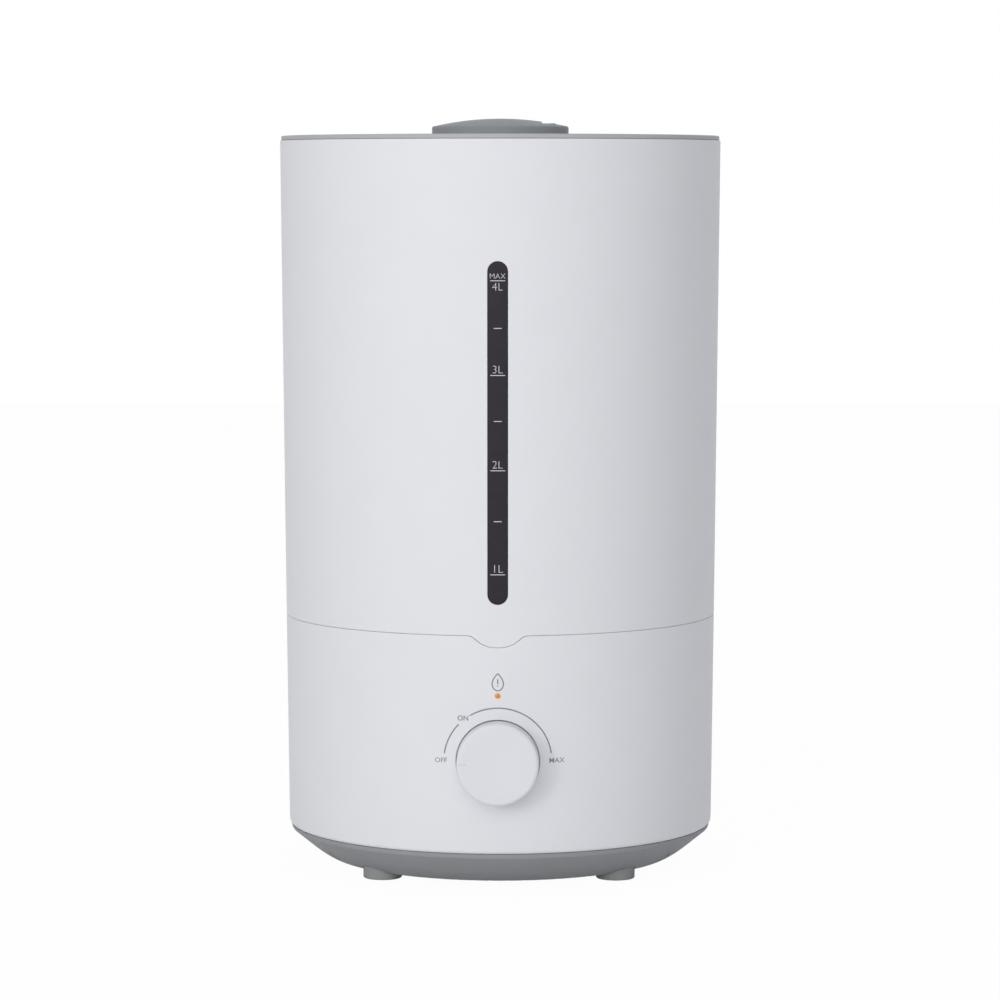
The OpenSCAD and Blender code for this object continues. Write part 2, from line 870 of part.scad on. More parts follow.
// The housing's own space, out to the middle of its wall: what stands inside is cut to it.
module inside_housing() {
    turned([
        [0, housing_z],
        [housing_r_at(housing_z) - housing_wall / 2, housing_z],
        [seam_r - housing_wall / 2, seam_z],
        [0, seam_z]
    ]);
}

module ledge_ring() {
    wall_r = housing_r_at(ledge_z) - housing_wall / 2;
    turned([
        [wall_r - ledge_w, ledge_z],
        [wall_r - ledge_w, ledge_z - ledge_t],
        [wall_r, ledge_z - 2 * ledge_t],
        [wall_r, ledge_z]
    ]);
}

rail_w = 2.4;

module indicator_rails() {
    for (s = side_angles)
        translate([s * (indicator_board_w / 2 + rail_w / 2 - 0.9) - rail_w / 2, lens_y, indicator_board_z])
            cube([rail_w, indicator_inset + rail_w + board_t, indicator_board_h]);
}

module base_housing() {
    boss_l = long_screw_l + 4;
    boss_drop = short_screw_l + 4;
    color(white) on_axis()
        difference() {
            union() {
                housing_shell();
                intersection() {
                    union() {
                        difference() {
                            ledge_ring();
                            translate([0, -2 * seam_r, 0])
                                slab(indicator_board_w + 2 * rail_w, 2 * seam_r - basin_r / 2, seam_z);
                        }
                        at_ring(pan_screw_ring_r, pan_screw_angles) {
                            translate([0, 0, pan_boss_z])
                                rod(boss_r, boss_l);
                            translate([0, -1, housing_z + upstand_h + join_fit])
                                cube([pan_screw_inset, 2, boss_l - upstand_h - 1]);
                        }
                        at_ring(basin_screw_ring_r, corner_angles)
                            translate([0, 0, ledge_z + gasket_t - boss_drop])
                                rod(boss_r, boss_drop);
                        indicator_rails();
                        facing_front(pot_y, dial_z)
                            drum(recess_r + recess_wall, recess_wall + recess_depth);
                        facing_back(gland_surface_y - gland_pad_t, gland_z)
                            drum(gland_flange_r + 1, gland_pad_t);
                    }
                    union() {
                        inside_housing();
                        at_ring(pan_screw_ring_r, pan_screw_angles)
                            drum(boss_r, housing_z + cut);
                    }
                }
            }
            tab_prism(seam_gap, cut);
            facing_front(recess_y, dial_z)
                drum(recess_r, knob_out);
            facing_front(pot_y + cut, dial_z)
                drum(bushing_r + join_fit, knob_out + recess_wall);
            facing_front(lens_y + housing_wall + cut, lens_z)
                rod(lens_r + join_fit / 2, housing_wall + 2 * cut);
            facing_back(gland_surface_y, gland_z)
                drum(gland_flange_r + 2 * join_fit, 5 * cut);
            facing_back(gland_surface_y - gland_pad_t - cut, gland_z)
                drum(gland_r + join_fit, gland_pad_t + 2 * cut);
            translate([0, indicator_board_y - join_fit, indicator_board_z - cut])
                slab(indicator_board_w + 2 * join_fit, board_t + 2 * join_fit, 2 * indicator_board_h);
            at_ring(pan_screw_ring_r, pan_screw_angles)
                translate([0, 0, pan_boss_z - cut])
                    rod(screw_r, long_screw_l - 2 + cut);
            at_ring(basin_screw_ring_r, corner_angles)
                translate([0, 0, ledge_z + gasket_t - short_screw_l])
                    rod(screw_r, short_screw_l + cut);
        }
}

module cord_gland() {
    color(black) on_axis()
        facing_back(gland_surface_y - gland_pad_t - gland_flange_t, gland_z)
            turned(rounded([
                [gland_bore_r, 0],
                [gland_flange_r, 0],
                [gland_flange_r, gland_flange_t],
                [gland_r, gland_flange_t],
                [gland_r, gland_flange_t + gland_pad_t],
                [gland_flange_r, gland_flange_t + gland_pad_t],
                [gland_flange_r, 2 * gland_flange_t + gland_pad_t, 0.6],
                [gland_bore_r, 2 * gland_flange_t + gland_pad_t]
            ]));
}

// ---- basin

basin_under_z = basin_floor_z - basin_wall;
float_rest_z = basin_floor_z + rest_gap;
float_post_z = float_rest_z + float_h + float_travel + rest_gap;
cap_peg_r = 1.6;
lifter_r = port_r - 3;

module water_basin() {
    color(clear_white) on_axis()
        difference() {
            union() {
                turned([
                    [disc_r - disc_grip, well_under_z],
                    [well_r + basin_wall, well_under_z],
                    [well_r + basin_wall, basin_under_z],
                    [basin_r + basin_wall, basin_under_z],
                    [basin_r + basin_wall, flange_z - flange_t],
                    [flange_outer_r, flange_z - flange_t],
                    [flange_outer_r, flange_z],
                    [basin_r, flange_z],
                    [basin_r, basin_floor_z],
                    [well_r, basin_floor_z],
                    [well_r, well_floor_z],
                    [disc_r - disc_grip, well_floor_z]
                ]);
                translate([tower_x, 0, basin_under_z])
                    drum(tower_r + basin_wall, basin_wall + tower_h);
                translate([float_pos.x, float_pos.y, basin_floor_z - basin_wall / 2])
                    drum(float_post_r, float_post_z - basin_floor_z + basin_wall / 2);
                translate([0, valve_y, basin_floor_z - basin_wall / 2])
                    rod(lifter_r, lifter_z - basin_floor_z + basin_wall / 2);
            }
            translate([tower_x, 0, basin_under_z - cut])
                drum(tower_r, basin_wall + tower_h + 2 * cut);
            translate([float_pos.x, float_pos.y, float_post_z - 5])
                rod(cap_peg_r, 5 + cut);
            at_ring(basin_screw_ring_r, corner_angles)
                translate([0, 0, flange_z - flange_t - cut])
                    rod(screw_r + join_fit, flange_t + 2 * cut);
            at_ring(clamp_screw_ring_r, clamp_screw_angles)
                translate([0, 0, well_under_z - cut])
                    rod(screw_r, well_floor_t - 1 + cut);
        }
}

module basin_gasket() {
    color(rubber_grey) on_axis()
        translate([0, 0, ledge_z])
            ring(flange_outer_r, basin_screw_ring_r + boss_r + join_fit, gasket_t);
}

module basin_screws() {
    color(metal) on_axis()
        at_ring(basin_screw_ring_r, corner_angles)
            translate([0, 0, flange_z])
                screw(short_screw_l);
}

// ---- transducer

module transducer_disc() {
    color(metal) on_axis()
        translate([0, 0, seal_z + seal_lip_t])
            drum(disc_r, disc_t);
}

module transducer_seal() {
    color(rubber_grey) on_axis()
        translate([0, 0, seal_z])
            turned([
                [disc_r - disc_grip, 0],
                [seal_r, 0],
                [seal_r, seal_h],
                [disc_r - disc_grip, seal_h],
                [disc_r - disc_grip, seal_lip_t + disc_t],
                [disc_r, seal_lip_t + disc_t],
                [disc_r, seal_lip_t],
                [disc_r - disc_grip, seal_lip_t]
            ]);
}

module transducer_clamp() {
    color(metal) on_axis()
        difference() {
            translate([0, 0, clamp_z])
                turned([
                    [disc_r - disc_grip, 0],
                    [clamp_r, 0],
                    [clamp_r, clamp_t + seal_h],
                    [clamp_in_r, clamp_t + seal_h],
                    [clamp_in_r, clamp_t],
                    [disc_r - disc_grip, clamp_t]
                ]);
            at_ring(clamp_screw_ring_r, clamp_screw_angles)
                translate([0, 0, clamp_z - cut])
                    rod(screw_r + join_fit, clamp_t + seal_h + 2 * cut);
        }
}

module clamp_screws() {
    color(metal) on_axis()
        at_ring(clamp_screw_ring_r, clamp_screw_angles)
            translate([0, 0, clamp_z])
                mirror([0, 0, 1])
                    screw(clamp_t + seal_h + well_floor_t - 1.5);
}

// ---- air path

fan_flange_t = 3;
fan_bore_r = fan_w / 2 - fan_rim;
spider_t = 2;
motor_r = fan_hub_r - 2;
impeller_z = fan_z + spider_t + 1;
impeller_top_z = hood_z - 1;
duct_tube_r = tower_r - 3 * join_fit;
duct_flange_z = basin_under_z - 2 * duct_flange_t;

module inlet_filter() {
    color(black) on_axis()
        translate([fan_x, 0, pan_floor_z])
            drum(fan_bore_r, filter_t);
}

module fan_outline(side) {
    r = 3;
    square([side, side - 2 * r], center = true);
    square([side - 2 * r, side], center = true);
    at_corners(side - 2 * r, side - 2 * r)
        circle(r = r, $fn = small);
}

module fan_frame() {
    color(black) on_axis()
        translate([fan_x, 0, fan_z])
            difference() {
                union() {
                    difference() {
                        union() {
                            for (z = [0, fan_t - fan_flange_t])
                                translate([0, 0, z])
                                    linear_extrude(height = fan_flange_t)
                                        fan_outline(fan_w);
                            drum(fan_bore_r + fan_rim * 0.8, fan_t);
                        }
                        translate([0, 0, -cut])
                            drum(fan_bore_r, fan_t + 2 * cut);
                    }
                    drum(motor_r, spider_t);
                    for (a = [0 : 120 : 240])
                        rotate([0, 0, a])
                            translate([0, -1.5, 0])
                                cube([fan_bore_r + fan_rim / 2, 3, spider_t]);
                }
                at_corners(fan_w - 2 * fan_hole_inset, fan_w - 2 * fan_hole_inset)
                    translate([0, 0, -cut])
                        rod(screw_r + join_fit, fan_t + 2 * cut);
                at_corners(fan_w - 2 * fan_hole_inset, fan_w - 2 * fan_hole_inset)
                    translate([0, 0, fan_flange_t])
                        rod(well_screw_r, fan_t);
            }
}

module fan_screws() {
    color(metal) on_axis()
        at_fan_holes()
            translate([0, 0, fan_z + fan_flange_t])
                screw(fan_flange_t + 4);
}

module fan_motor() {
    motor_h = impeller_top_z - 2.2 - fan_z - spider_t;
    color(copper) on_axis()
        translate([fan_x, 0, fan_z + spider_t])
            difference() {
                drum(motor_r - 1, motor_h);
                translate([0, 0, cut])
                    drum(fan_shaft_r + run_fit, motor_h);
            }
}

module fan_impeller() {
    hub_wall = 1.2;
    blade_h = impeller_top_z - impeller_z - 1;
    color(black) on_axis()
        translate([fan_x, 0, 0]) {
            translate([0, 0, impeller_z])
                turned([
                    [0, impeller_top_z - impeller_z],
                    [fan_hub_r, impeller_top_z - impeller_z],
                    [fan_hub_r, 0],
                    [fan_hub_r - hub_wall, 0],
                    [fan_hub_r - hub_wall, impeller_top_z - impeller_z - hub_wall],
                    [fan_shaft_r, impeller_top_z - impeller_z - hub_wall],
                    [fan_shaft_r, 1],
                    [0, 1]
                ]);
            intersection() {
                translate([0, 0, impeller_z])
                    ring(fan_bore_r - 0.8, fan_hub_r - hub_wall / 2, blade_h + 1);
                for (k = [0 : fan_blades - 1])
                    rotate([0, 0, 360 * k / fan_blades])
                        translate([fan_w / 4, 0, impeller_z + blade_h / 2 + 0.5])
                            rotate([blade_pitch, 0, 0])
                                cube([fan_w / 2, blade_h / sin(blade_pitch) * 0.8, blade_t], center = true);
            }
        }
}

module air_duct() {
    tube_top_z = basin_floor_z + tower_h / 2;
    color(light_grey) on_axis()
        difference() {
            union() {
                translate([fan_x, 0, hood_z])
                    linear_extrude(height = hood_h)
                        fan_outline(fan_w);
                translate([tower_x, 0, hood_z])
                    drum(duct_tube_r, tube_top_z - hood_z);
                translate([tower_x, 0, duct_flange_z])
                    drum(duct_tube_r + duct_flange_w, duct_flange_t);
            }
            translate([fan_x, 0, hood_z - cut])
                linear_extrude(height = hood_h - duct_wall + cut)
                    fan_outline(fan_w - 2 * duct_wall);
            translate([tower_x, 0, hood_z])
                drum(duct_tube_r - duct_wall, tube_top_z - hood_z + cut);
        }
}

module duct_gasket() {
    color(rubber_grey) on_axis()
        translate([tower_x, 0, duct_flange_z + duct_flange_t])
            ring(duct_tube_r + duct_flange_w, duct_tube_r, duct_flange_t);
}

// ---- float and level sensor

magnet_h = 2.4;
magnet_in_r = float_post_r + float_gap + 1.2;
magnet_r = float_r - 1.6;

module at_float(z) {
    translate([float_pos.x, float_pos.y, z])
        children();
}

module float_post_cap() {
    color(light_grey) on_axis()
        at_float(float_post_z) {
            turned(rounded([[0, 0], [float_cap_r, 0], [float_cap_r, float_cap_t, 0.5], [0, float_cap_t]]));
            translate([0, 0, -4])
                rod(cap_peg_r, 4 + float_cap_t / 2);
        }
}

module float_ring() {
    color(white) on_axis()
        at_float(float_rest_z)
            turned(rounded([
                [float_post_r + float_gap, 0],
                [magnet_in_r, 0],
                [magnet_in_r, magnet_h],
                [magnet_r, magnet_h],
                [magnet_r, 0],
                [float_r, 0],
                [float_r, float_h, 1],
                [float_post_r + float_gap, float_h]
            ]));
}

module float_magnet() {
    color(metal) on_axis()
        at_float(float_rest_z)
            ring(magnet_r, magnet_in_r, magnet_h);
}

module level_sensor() {
    sensor_t = sensor_l * 0.2;
    color(black) on_axis()
        at_float(basin_under_z - sensor_t)
            translate([0, -sensor_l / 6, 0])
                slab(sensor_l, sensor_l / 3, sensor_t);
}

// ---- electronics

board_top_z = board_z + board_t;

module board(place, l, w) {
    difference() {
        translate([place.x, place.y - w / 2, board_z])
            slab(l, w, board_t);
        at_board_posts(place, l, w)
            translate([0, 0, board_z - cut])
                rod(screw_r + join_fit, board_t + 2 * cut);
    }
}

module driver_board() {
    color(board_green) on_axis()
        board(driver_pos, driver_l, driver_w);
}

module power_board() {
    color(board_green) on_axis()
        board(power_pos, power_l, power_w);
}

module board_screws() {
    color(metal) on_axis()
        at_all_board_posts()
            translate([0, 0, board_top_z])
                screw(short_screw_l);
}

module heat_sink() {
    color(metal) on_axis()
        translate([driver_pos.x - driver_l / 9, driver_pos.y, board_top_z]) {
            translate([0, -sink_w / 2, 0])
                slab(sink_l, sink_w, sink_base_t);
            for (i = [0 : sink_fins - 1])
                translate([-sink_l / 2 + i * (sink_l - sink_fin_t) / (sink_fins - 1), -sink_w / 2, 0])
                    cube([sink_fin_t, sink_w, sink_h]);
        }
}

module driver_coil() {
    color(copper) on_axis()
        translate([driver_pos.x + 0.3 * driver_l, driver_pos.y + 0.22 * driver_w, board_top_z + coil_t / 2])
            rotate_extrude($fn = fine)
                translate([coil_r, 0])
                    circle(d = coil_t, $fn = small);
}

module transformer() {
    winding_l = core_l * 0.7;
    color(amber) on_axis()
        translate([power_pos.x - power_l / 6, power_pos.y, board_top_z]) {
            translate([0, -core_w / 2, 0])
                slab(core_l, core_w, transformer_h);
            translate([0, -winding_w / 2, transformer_h * 0.2])
                slab(winding_l, winding_w, transformer_h * 0.6);
        }
}

module smoothing_capacitors() {
    color(black) on_axis()
        for (s = side_angles)
            translate([power_pos.x + power_l / 5.5, power_pos.y + s * 1.25 * can_r, board_top_z])
                turned(rounded([[0, 0], [can_r, 0], [can_r, can_h, 0.8], [0, can_h]]));
}

module mains_terminal() {
    l = terminal_w * 0.4;
    color(white) on_axis()
        translate([power_pos.x + power_l / 2 - l - board_inset, power_pos.y, board_top_z])
            difference() {
                translate([0, -terminal_w / 2, 0])
                    cube([l, terminal_w, terminal_h]);
                for (s = side_angles)
                    translate([l / 2, s * terminal_w / 4, terminal_h / 2])
                        rod(terminal_w / 8, terminal_h);
            }
}

// ---- dial

hub_r = shaft_r + 2.2;
bushing_out = nut_t + 0.6;
hub_y = recess_y - bushing_out - 0.6;
shaft_end_y = knob_face_y + knob_wall + knob_crown;
shaft_flat = shaft_r * 0.4;
pointer_r = [0.75 * knob_r, 0.93 * knob_r];

module potentiometer() {
    color(metal) on_axis()
        difference() {
            union() {
                facing_front(pot_y + pot_l, dial_z)
                    drum(pot_r, pot_l);
                facing_front(pot_y, dial_z)
                    drum(bushing_r, housing_wall + bushing_out);
            }
            facing_front(pot_y + pot_l - cut, dial_z)
                drum(shaft_r + run_fit, pot_l + housing_wall + bushing_out + cut);
        }
}

module bushing_nut() {
    color(metal) on_axis()
        facing_front(recess_y, dial_z)
            difference() {
                cylinder(r = nut_r * 2 / sqrt(3), h = nut_t, $fn = 6);
                translate([0, 0, -cut])
                    drum(bushing_r, nut_t + 2 * cut);
            }
}

module d_rod(r, length) {
    difference() {
        drum(r, length);
        translate([shaft_flat + r - shaft_r, -2 * r, -cut])
            cube([2 * r, 4 * r, length + 2 * cut]);
    }
}

module dial_shaft() {
    round_l = pot_y + pot_l - 2 - hub_y;
    color(metal) on_axis() {
        facing_front(hub_y + round_l, dial_z)
            drum(shaft_r, round_l);
        facing_front(hub_y, dial_z)
            d_rod(shaft_r, hub_y - shaft_end_y);
    }
}

module control_knob() {
    h = knob_back_y - knob_face_y;
    face_steps = 5;
    crown = [for (i = [1 : face_steps])
        let (r = (knob_r - 2 * knob_edge_r) * (1 - i / face_steps))
            [r, h - knob_crown * pow(r / knob_r, 2)]];
    color(white) on_axis()
        difference() {
            facing_front(knob_back_y, dial_z)
                turned(concat(
                    rounded([
                        [hub_r, h - knob_wall - knob_crown],
                        [knob_r - knob_wall, h - knob_wall - knob_crown, 0.8],
                        [knob_r - knob_wall, 0],
                        [knob_r, 0, 0.3],
                        [knob_r - 0.15, h - knob_crown * 0.9, knob_edge_r],
                        crown[0]
                    ]),
                    [for (i = [1 : face_steps - 1]) crown[i]],
                    [
                        [0, knob_back_y - hub_y],
                        [hub_r, knob_back_y - hub_y]
                    ]
                ));
            facing_front(hub_y + cut, dial_z)
                d_rod(shaft_r + join_fit / 2, hub_y - shaft_end_y + cut + join_fit);
            translate([-pointer_r[1], knob_face_y - cut, dial_z - 0.3])
                cube([pointer_r[1] - pointer_r[0], cut + knob_crown + 0.2, 0.6]);
        }
}

// ---- indicator

module indicator_board() {
    color(board_green) on_axis()
        translate([0, indicator_board_y, indicator_board_z])
            slab(indicator_board_w, board_t, indicator_board_h);
}

lens_flange_t = 1;
lens_flange_y = lens_y + housing_wall + lens_flange_t + 0.1;

module indicator_diode() {
    l = indicator_board_y - lens_flange_y - 0.3;
    color(amber) on_axis()
        facing_front(indicator_board_y, lens_z)
            turned(rounded([
                [0, 0],
                [diode_r + 0.4, 0],
                [diode_r + 0.4, 0.8],
                [diode_r, 0.8],
                [diode_r, l, 0.7],
                [0, l]
            ]));
}

module indicator_lens() {
    color(amber) on_axis()
        facing_front(lens_flange_y, lens_z)
            turned(rounded([
                [0, 0],
                [2 * lens_r, 0],
                [2 * lens_r, lens_flange_t],
                [lens_r, lens_flange_t],
                [lens_r, lens_flange_y - lens_y + 0.1, 0.3],
                [0, lens_flange_y - lens_y + 0.1]
            ]));
}

// ---- leads inside the base

module transducer_lead() {
    disc_z = seal_z + seal_lip_t;
    end_x = driver_pos.x + driver_l / 2 - board_inset;
    color(copper) on_axis()
        for (s = side_angles)
            swept(smooth_run([
                [-disc_r / 4, s * disc_r / 4, disc_z],
                [-disc_r / 4, s * disc_r / 4, clamp_z - lead_bend / 2],
                [(end_x - disc_r / 4) / 2, s * disc_r / 4, (clamp_z + board_top_z) / 2],
                [end_x, s * disc_r / 4, board_top_z + lead_bend],
                [end_x, s * disc_r / 4, board_top_z]
            ]), [0, 1, 0], lead_r);
}

module fan_lead() {
    from_x = fan_x - fan_w / 2;
    z = fan_z + fan_flange_t / 2;
    end = [driver_pos.x + driver_l / 2 - board_inset, -driver_w / 4];
    color(black) on_axis()
        swept(smooth_run([
            [from_x, end.y, z],
            [from_x - lead_bend, end.y, z],
            [from_x - 2 * lead_bend, end.y, board_top_z + lead_bend],
            [end.x, end.y, board_top_z + lead_bend],
            [end.x, end.y, board_top_z]
        ]), [0, 1, 0], lead_r);
}

module dial_lead() {
    from_y = pot_y + pot_l;
    z = dial_z - pot_r / 2;
    end = [driver_pos.x + driver_l / 4, driver_pos.y - driver_w / 3];
    color(black) on_axis()
        swept(smooth_run([
            [0, from_y, z],
            [0, from_y + lead_bend, z],
            [end.x / 3, from_y + 2 * lead_bend, (dial_z + board_z) / 2],
            [end.x, end.y - 1.5 * lead_bend, board_top_z + 2 * lead_bend],
            [end.x, end.y, board_top_z + lead_bend],
            [end.x, end.y, board_top_z]
        ]), [1, 0, 0], lead_r);
}

// Runs down beside the potentiometer, between the housing and the basin.
module indicator_lead() {
    from = [-indicator_board_w / 3, indicator_board_y + board_t, lens_z - indicator_board_h / 2];
    gap_y = from.y + (-basin_r - basin_wall - from.y) / 2;
    end = [driver_pos.x + driver_l / 7, driver_pos.y - driver_w / 2.6];
    color(black) on_axis()
        swept(smooth_run([
            from,
            [from.x, gap_y, from.z],
            [from.x - lead_bend, gap_y, dial_z + pot_r + lead_bend / 2],
            [from.x - 1.5 * lead_bend, gap_y + lead_bend / 3, dial_z],
            [end.x, end.y - 3 * lead_bend, board_top_z + 2 * lead_bend],
            [end.x, end.y, board_top_z + 1.5 * lead_bend],
            [end.x, end.y, board_top_z]
        ]), [1, 0, 0], lead_r);
}

// ---- tank

module tank_shell() {
    shoulder_z = tank_bottom_z + tank_wall;
    spigot_z = flange_z + rest_gap;
    color(white) on_axis()
        difference() {
            union() {
                turned(rounded([
                    [spigot_r, spigot_z, edge_r],
                    [spigot_r, tank_bottom_z],
                    [tank_r_at(tank_bottom_z), tank_bottom_z, edge_r],
                    [tank_top_r, tank_top_z, edge_r],
                    [tank_top_r - tank_wall, tank_top_z, edge_r],
                    [tank_r_at(shoulder_z) - tank_wall, shoulder_z],
                    [spigot_in_r, shoulder_z],
                    [spigot_in_r, tank_floor_z],
                    [spigot_in_r - floor_ledge_w, tank_floor_z],
                    [spigot_in_r - floor_ledge_w, tank_floor_z - 1],
                    [spigot_in_r, tank_floor_z - 1 - floor_ledge_w],
                    [spigot_in_r, spigot_z]
                ]));
                intersection() {
                    tab_prism(0, edge_r + 0.2);
                    turned([
                        [seam_r - housing_wall, seam_z - 2 * tab_depth],
                        [seam_r, seam_z - 2 * tab_depth],
                        [seam_r, seam_z + cut],
                        [seam_r - housing_wall, seam_z + cut]
                    ]);
                }
            }
            window_prism(0);
        }
}

// A layer of the tank's wall, between two depths below its surface.
module tank_layer(shallow, deep) {
    turned([
        [seam_r - deep, seam_z],
        [seam_r - shallow, seam_z],
        [tank_top_r - shallow, tank_top_z],
        [tank_top_r - deep, tank_top_z]
    ]);
}

module window_prism(grow) {
    translate([0, 0, seam_z + window_rise - grow])
        rotate([90, 0, 0])
            linear_extrude(height = 2 * tank_top_r)
                stadium(window_w + 2 * grow, window_h + 2 * grow);
}

module water_window() {
    color(smoke) on_axis() {
        intersection() {
            tank_layer(window_recess, tank_wall + window_flange_t);
            window_prism(-join_fit / 2);
        }
        intersection() {
            tank_layer(tank_wall, tank_wall + window_flange_t);
            window_prism(window_flange_w);
        }
    }
}

module tank_floor() {
    tube_out_r = tube_r + tube_wall + join_fit;
    color(clear_white) on_axis()
        difference() {
            union() {
                translate([0, 0, tank_floor_z])
                    drum(spigot_in_r, floor_t);
                translate([0, 0, tank_floor_top_z - floor_t / 2])
                    ring(tube_out_r + collar_wall, tube_out_r, floor_t / 2 + collar_h);
                translate([0, 0, tank_floor_z - floor_rise / 2])
                    ring(tube_r + collar_wall, tube_r, floor_rise / 2 + floor_t / 2);
            }
            translate([0, 0, tank_floor_z - cut])
                drum(tube_r, floor_t + 2 * cut);
            translate([0, valve_y, tank_floor_z - cut])
                drum(neck_r + join_fit, floor_t + 2 * cut);
        }
}

tube_z = tank_floor_top_z + tube_seal_t;

module mist_tube() {
    color(clear_white) on_axis()
        translate([0, 0, tube_z])
            ring(tube_r + tube_wall, tube_r, lid_z - tube_top_gap - tube_z);
}

module tube_seal() {
    color(rubber_grey) on_axis()
        translate([0, 0, tank_floor_top_z])
            ring(tube_r + tube_wall, tube_r, tube_seal_t);
}

// ---- valve in the tank's floor

valve_guide_z = tank_floor_z - gasket_t;

module at_valve(z) {
    translate([0, valve_y, z])
        children();
}

// Spokes that carry a rod's bore inside a round port.
module spokes(reach, height) {
    difference() {
        union() {
            drum(rod_r + 1.8, height);
            for (a = [30 : 120 : 270])
                rotate([0, 0, a])
                    translate([0, -0.8, 0])
                        cube([reach, 1.6, height]);
        }
        translate([0, 0, -cut])
            drum(rod_r + run_fit, height + 2 * cut);
    }
}

module valve_body() {
    color(white) on_axis() {
        at_valve(valve_flange_z)
            ring(valve_flange_r, port_r, valve_flange_t);
        at_valve(dip_z)
            ring(neck_r, port_r, seat_z - dip_z);
        at_valve(valve_guide_z)
            spokes(port_r + port_wall / 2, 2);
    }
}

module valve_gasket() {
    color(rubber_grey) on_axis()
        at_valve(tank_floor_z - gasket_t)
            ring(valve_flange_r, neck_r, gasket_t);
}

module valve_cage() {
    leg_h = cage_z + cage_t - tank_floor_top_z;
    color(light_grey) on_axis()
        at_valve(tank_floor_top_z)
            difference() {
                union() {
                    ring(cage_leg_r, neck_r + join_fit, 2);
                    intersection() {
                        ring(cage_leg_r, neck_r + join_fit, leg_h);
                        for (a = [0 : 120 : 240])
                            rotate([0, 0, a])
                                translate([0, -2.5, 0])
                                    cube([2 * cage_leg_r, 5, leg_h]);
                    }
                    translate([0, 0, leg_h - cage_t])
                        drum(cage_leg_r, cage_t);
                }
                drum(rod_r + run_fit, leg_h + cut);
            }
}

module valve_spring() {
    steps = 14;
    coil_r = rod_r + wire_r + 2;
    rise = spring_l - 2 * wire_r - 0.1;
    count = steps * spring_turns;
    color(metal) on_axis()
        at_valve(spring_z + wire_r + 0.05)
            swept([for (i = [0 : count])
                [
                    coil_r * cos(360 * i / steps),
                    coil_r * sin(360 * i / steps),
                    rise * i / count
                ]
            ], [0, 0, 1], wire_r, 6);
}

module valve_plunger() {
    color(white) on_axis() {
        at_valve(rod_bottom_z)
            drum(rod_r, cage_z + cage_t + 1 - rod_bottom_z);
        at_valve(plunger_z)
            ring(neck_r - 0.4, rod_r / 2, plunger_t);
        at_valve(plunger_z + plunger_t / 2)
            rod(rod_r + 1, plunger_t / 2 + spring_l - press_travel - rest_gap);
    }
}

module valve_washer() {
    color(rubber_grey) on_axis()
        at_valve(washer_z)
            ring(neck_r - 0.4, rod_r, washer_t);
}

// ---- lid and nozzle

lid_skirt_z = lid_z - lid_skirt_h;
skirt_r = tank_r_at(lid_skirt_z) - tank_wall - lid_gap;
lid_seal_z = lid_skirt_z + lid_skirt_h / 3;
seal_groove = 0.6;
lid_collar_r = tube_r + tube_wall + lid_gap;
cap_collar_top_z = lid_top_z + cap_collar_h;

module tank_lid() {
    color(light_grey) on_axis()
        turned(rounded([
            [skirt_r - lid_wall, lid_skirt_z],
            [skirt_r, lid_skirt_z, 0.3],
            [skirt_r, lid_seal_z],
            [skirt_r - seal_groove, lid_seal_z],
            [skirt_r - seal_groove, lid_seal_z + lid_seal_h],
            [skirt_r, lid_seal_z + lid_seal_h],
            [skirt_r, lid_z],
            [lid_r, lid_z, 0.2],
            [lid_r, lid_top_z, 0.7],
            [cap_collar_r, lid_top_z],
            [cap_collar_r, cap_collar_top_z, 0.3],
            [cap_collar_r - lid_wall, cap_collar_top_z, 0.3],
            [cap_collar_r - lid_wall, lid_top_z],
            [lid_collar_r, lid_top_z, 0.4],
            [lid_collar_r, lid_skirt_z],
            [lid_collar_r + lid_wall, lid_skirt_z],
            [lid_collar_r + lid_wall, lid_z],
            [skirt_r - lid_wall, lid_z]
        ]));
}

module lid_seal() {
    color(rubber_grey) on_axis()
        translate([0, 0, lid_seal_z])
            turned(rounded([
                [skirt_r - seal_groove, 0],
                [skirt_r + lid_gap * 0.6, 0, 0.4],
                [skirt_r + lid_gap * 0.6, lid_seal_h, 0.4],
                [skirt_r - seal_groove, lid_seal_h]
            ]));
}

// Height of the dome, moved inwards by a wall, at a radius.
function dome_z(r, wall) = cap_top_z - dome_r + sqrt(pow(dome_r - wall, 2) - pow(r, 2));

dome_steps = 8;
cap_in_r = cap_r - cap_wall;
cap_ring_in_r = cap_collar_r + run_fit;

module cap_shell() {
    dome = [for (i = [1 : dome_steps])
        let (r = (cap_r - 0.5) * (1 - i / dome_steps)) [r, dome_z(r, 0)]];
    under = [for (i = [0 : dome_steps])
        let (r = cap_ring_in_r * i / dome_steps) [r, dome_z(r, cap_wall)]];
    turned(concat(
        rounded([[cap_in_r, cap_z], [cap_r, cap_z, 0.2], [cap_r, cap_shoulder_z, 0.5], dome[0]]),
        [for (i = [1 : dome_steps - 1]) dome[i]],
        under,
        [
            [cap_ring_in_r, cap_z + cap_lift],
            [cap_ring_r, cap_z + cap_lift],
            [cap_ring_r, dome_z(cap_ring_r, cap_wall)],
            [cap_in_r, dome_z(cap_in_r, cap_wall)]
        ]
    ));
}

module nozzle_cap() {
    color(cap_grey) on_axis()
        difference() {
            cap_shell();
            translate([outlet_x, -cap_r, deck_z])
                cube([cap_r, 2 * cap_r, cap_dome_h]);
            translate([outlet_x + 0.7 + outlet_w / 2, -outlet_l / 2, cap_z + cap_lift])
                linear_extrude(height = cap_side_h + cap_dome_h)
                    stadium(outlet_w, outlet_l);
        }
}

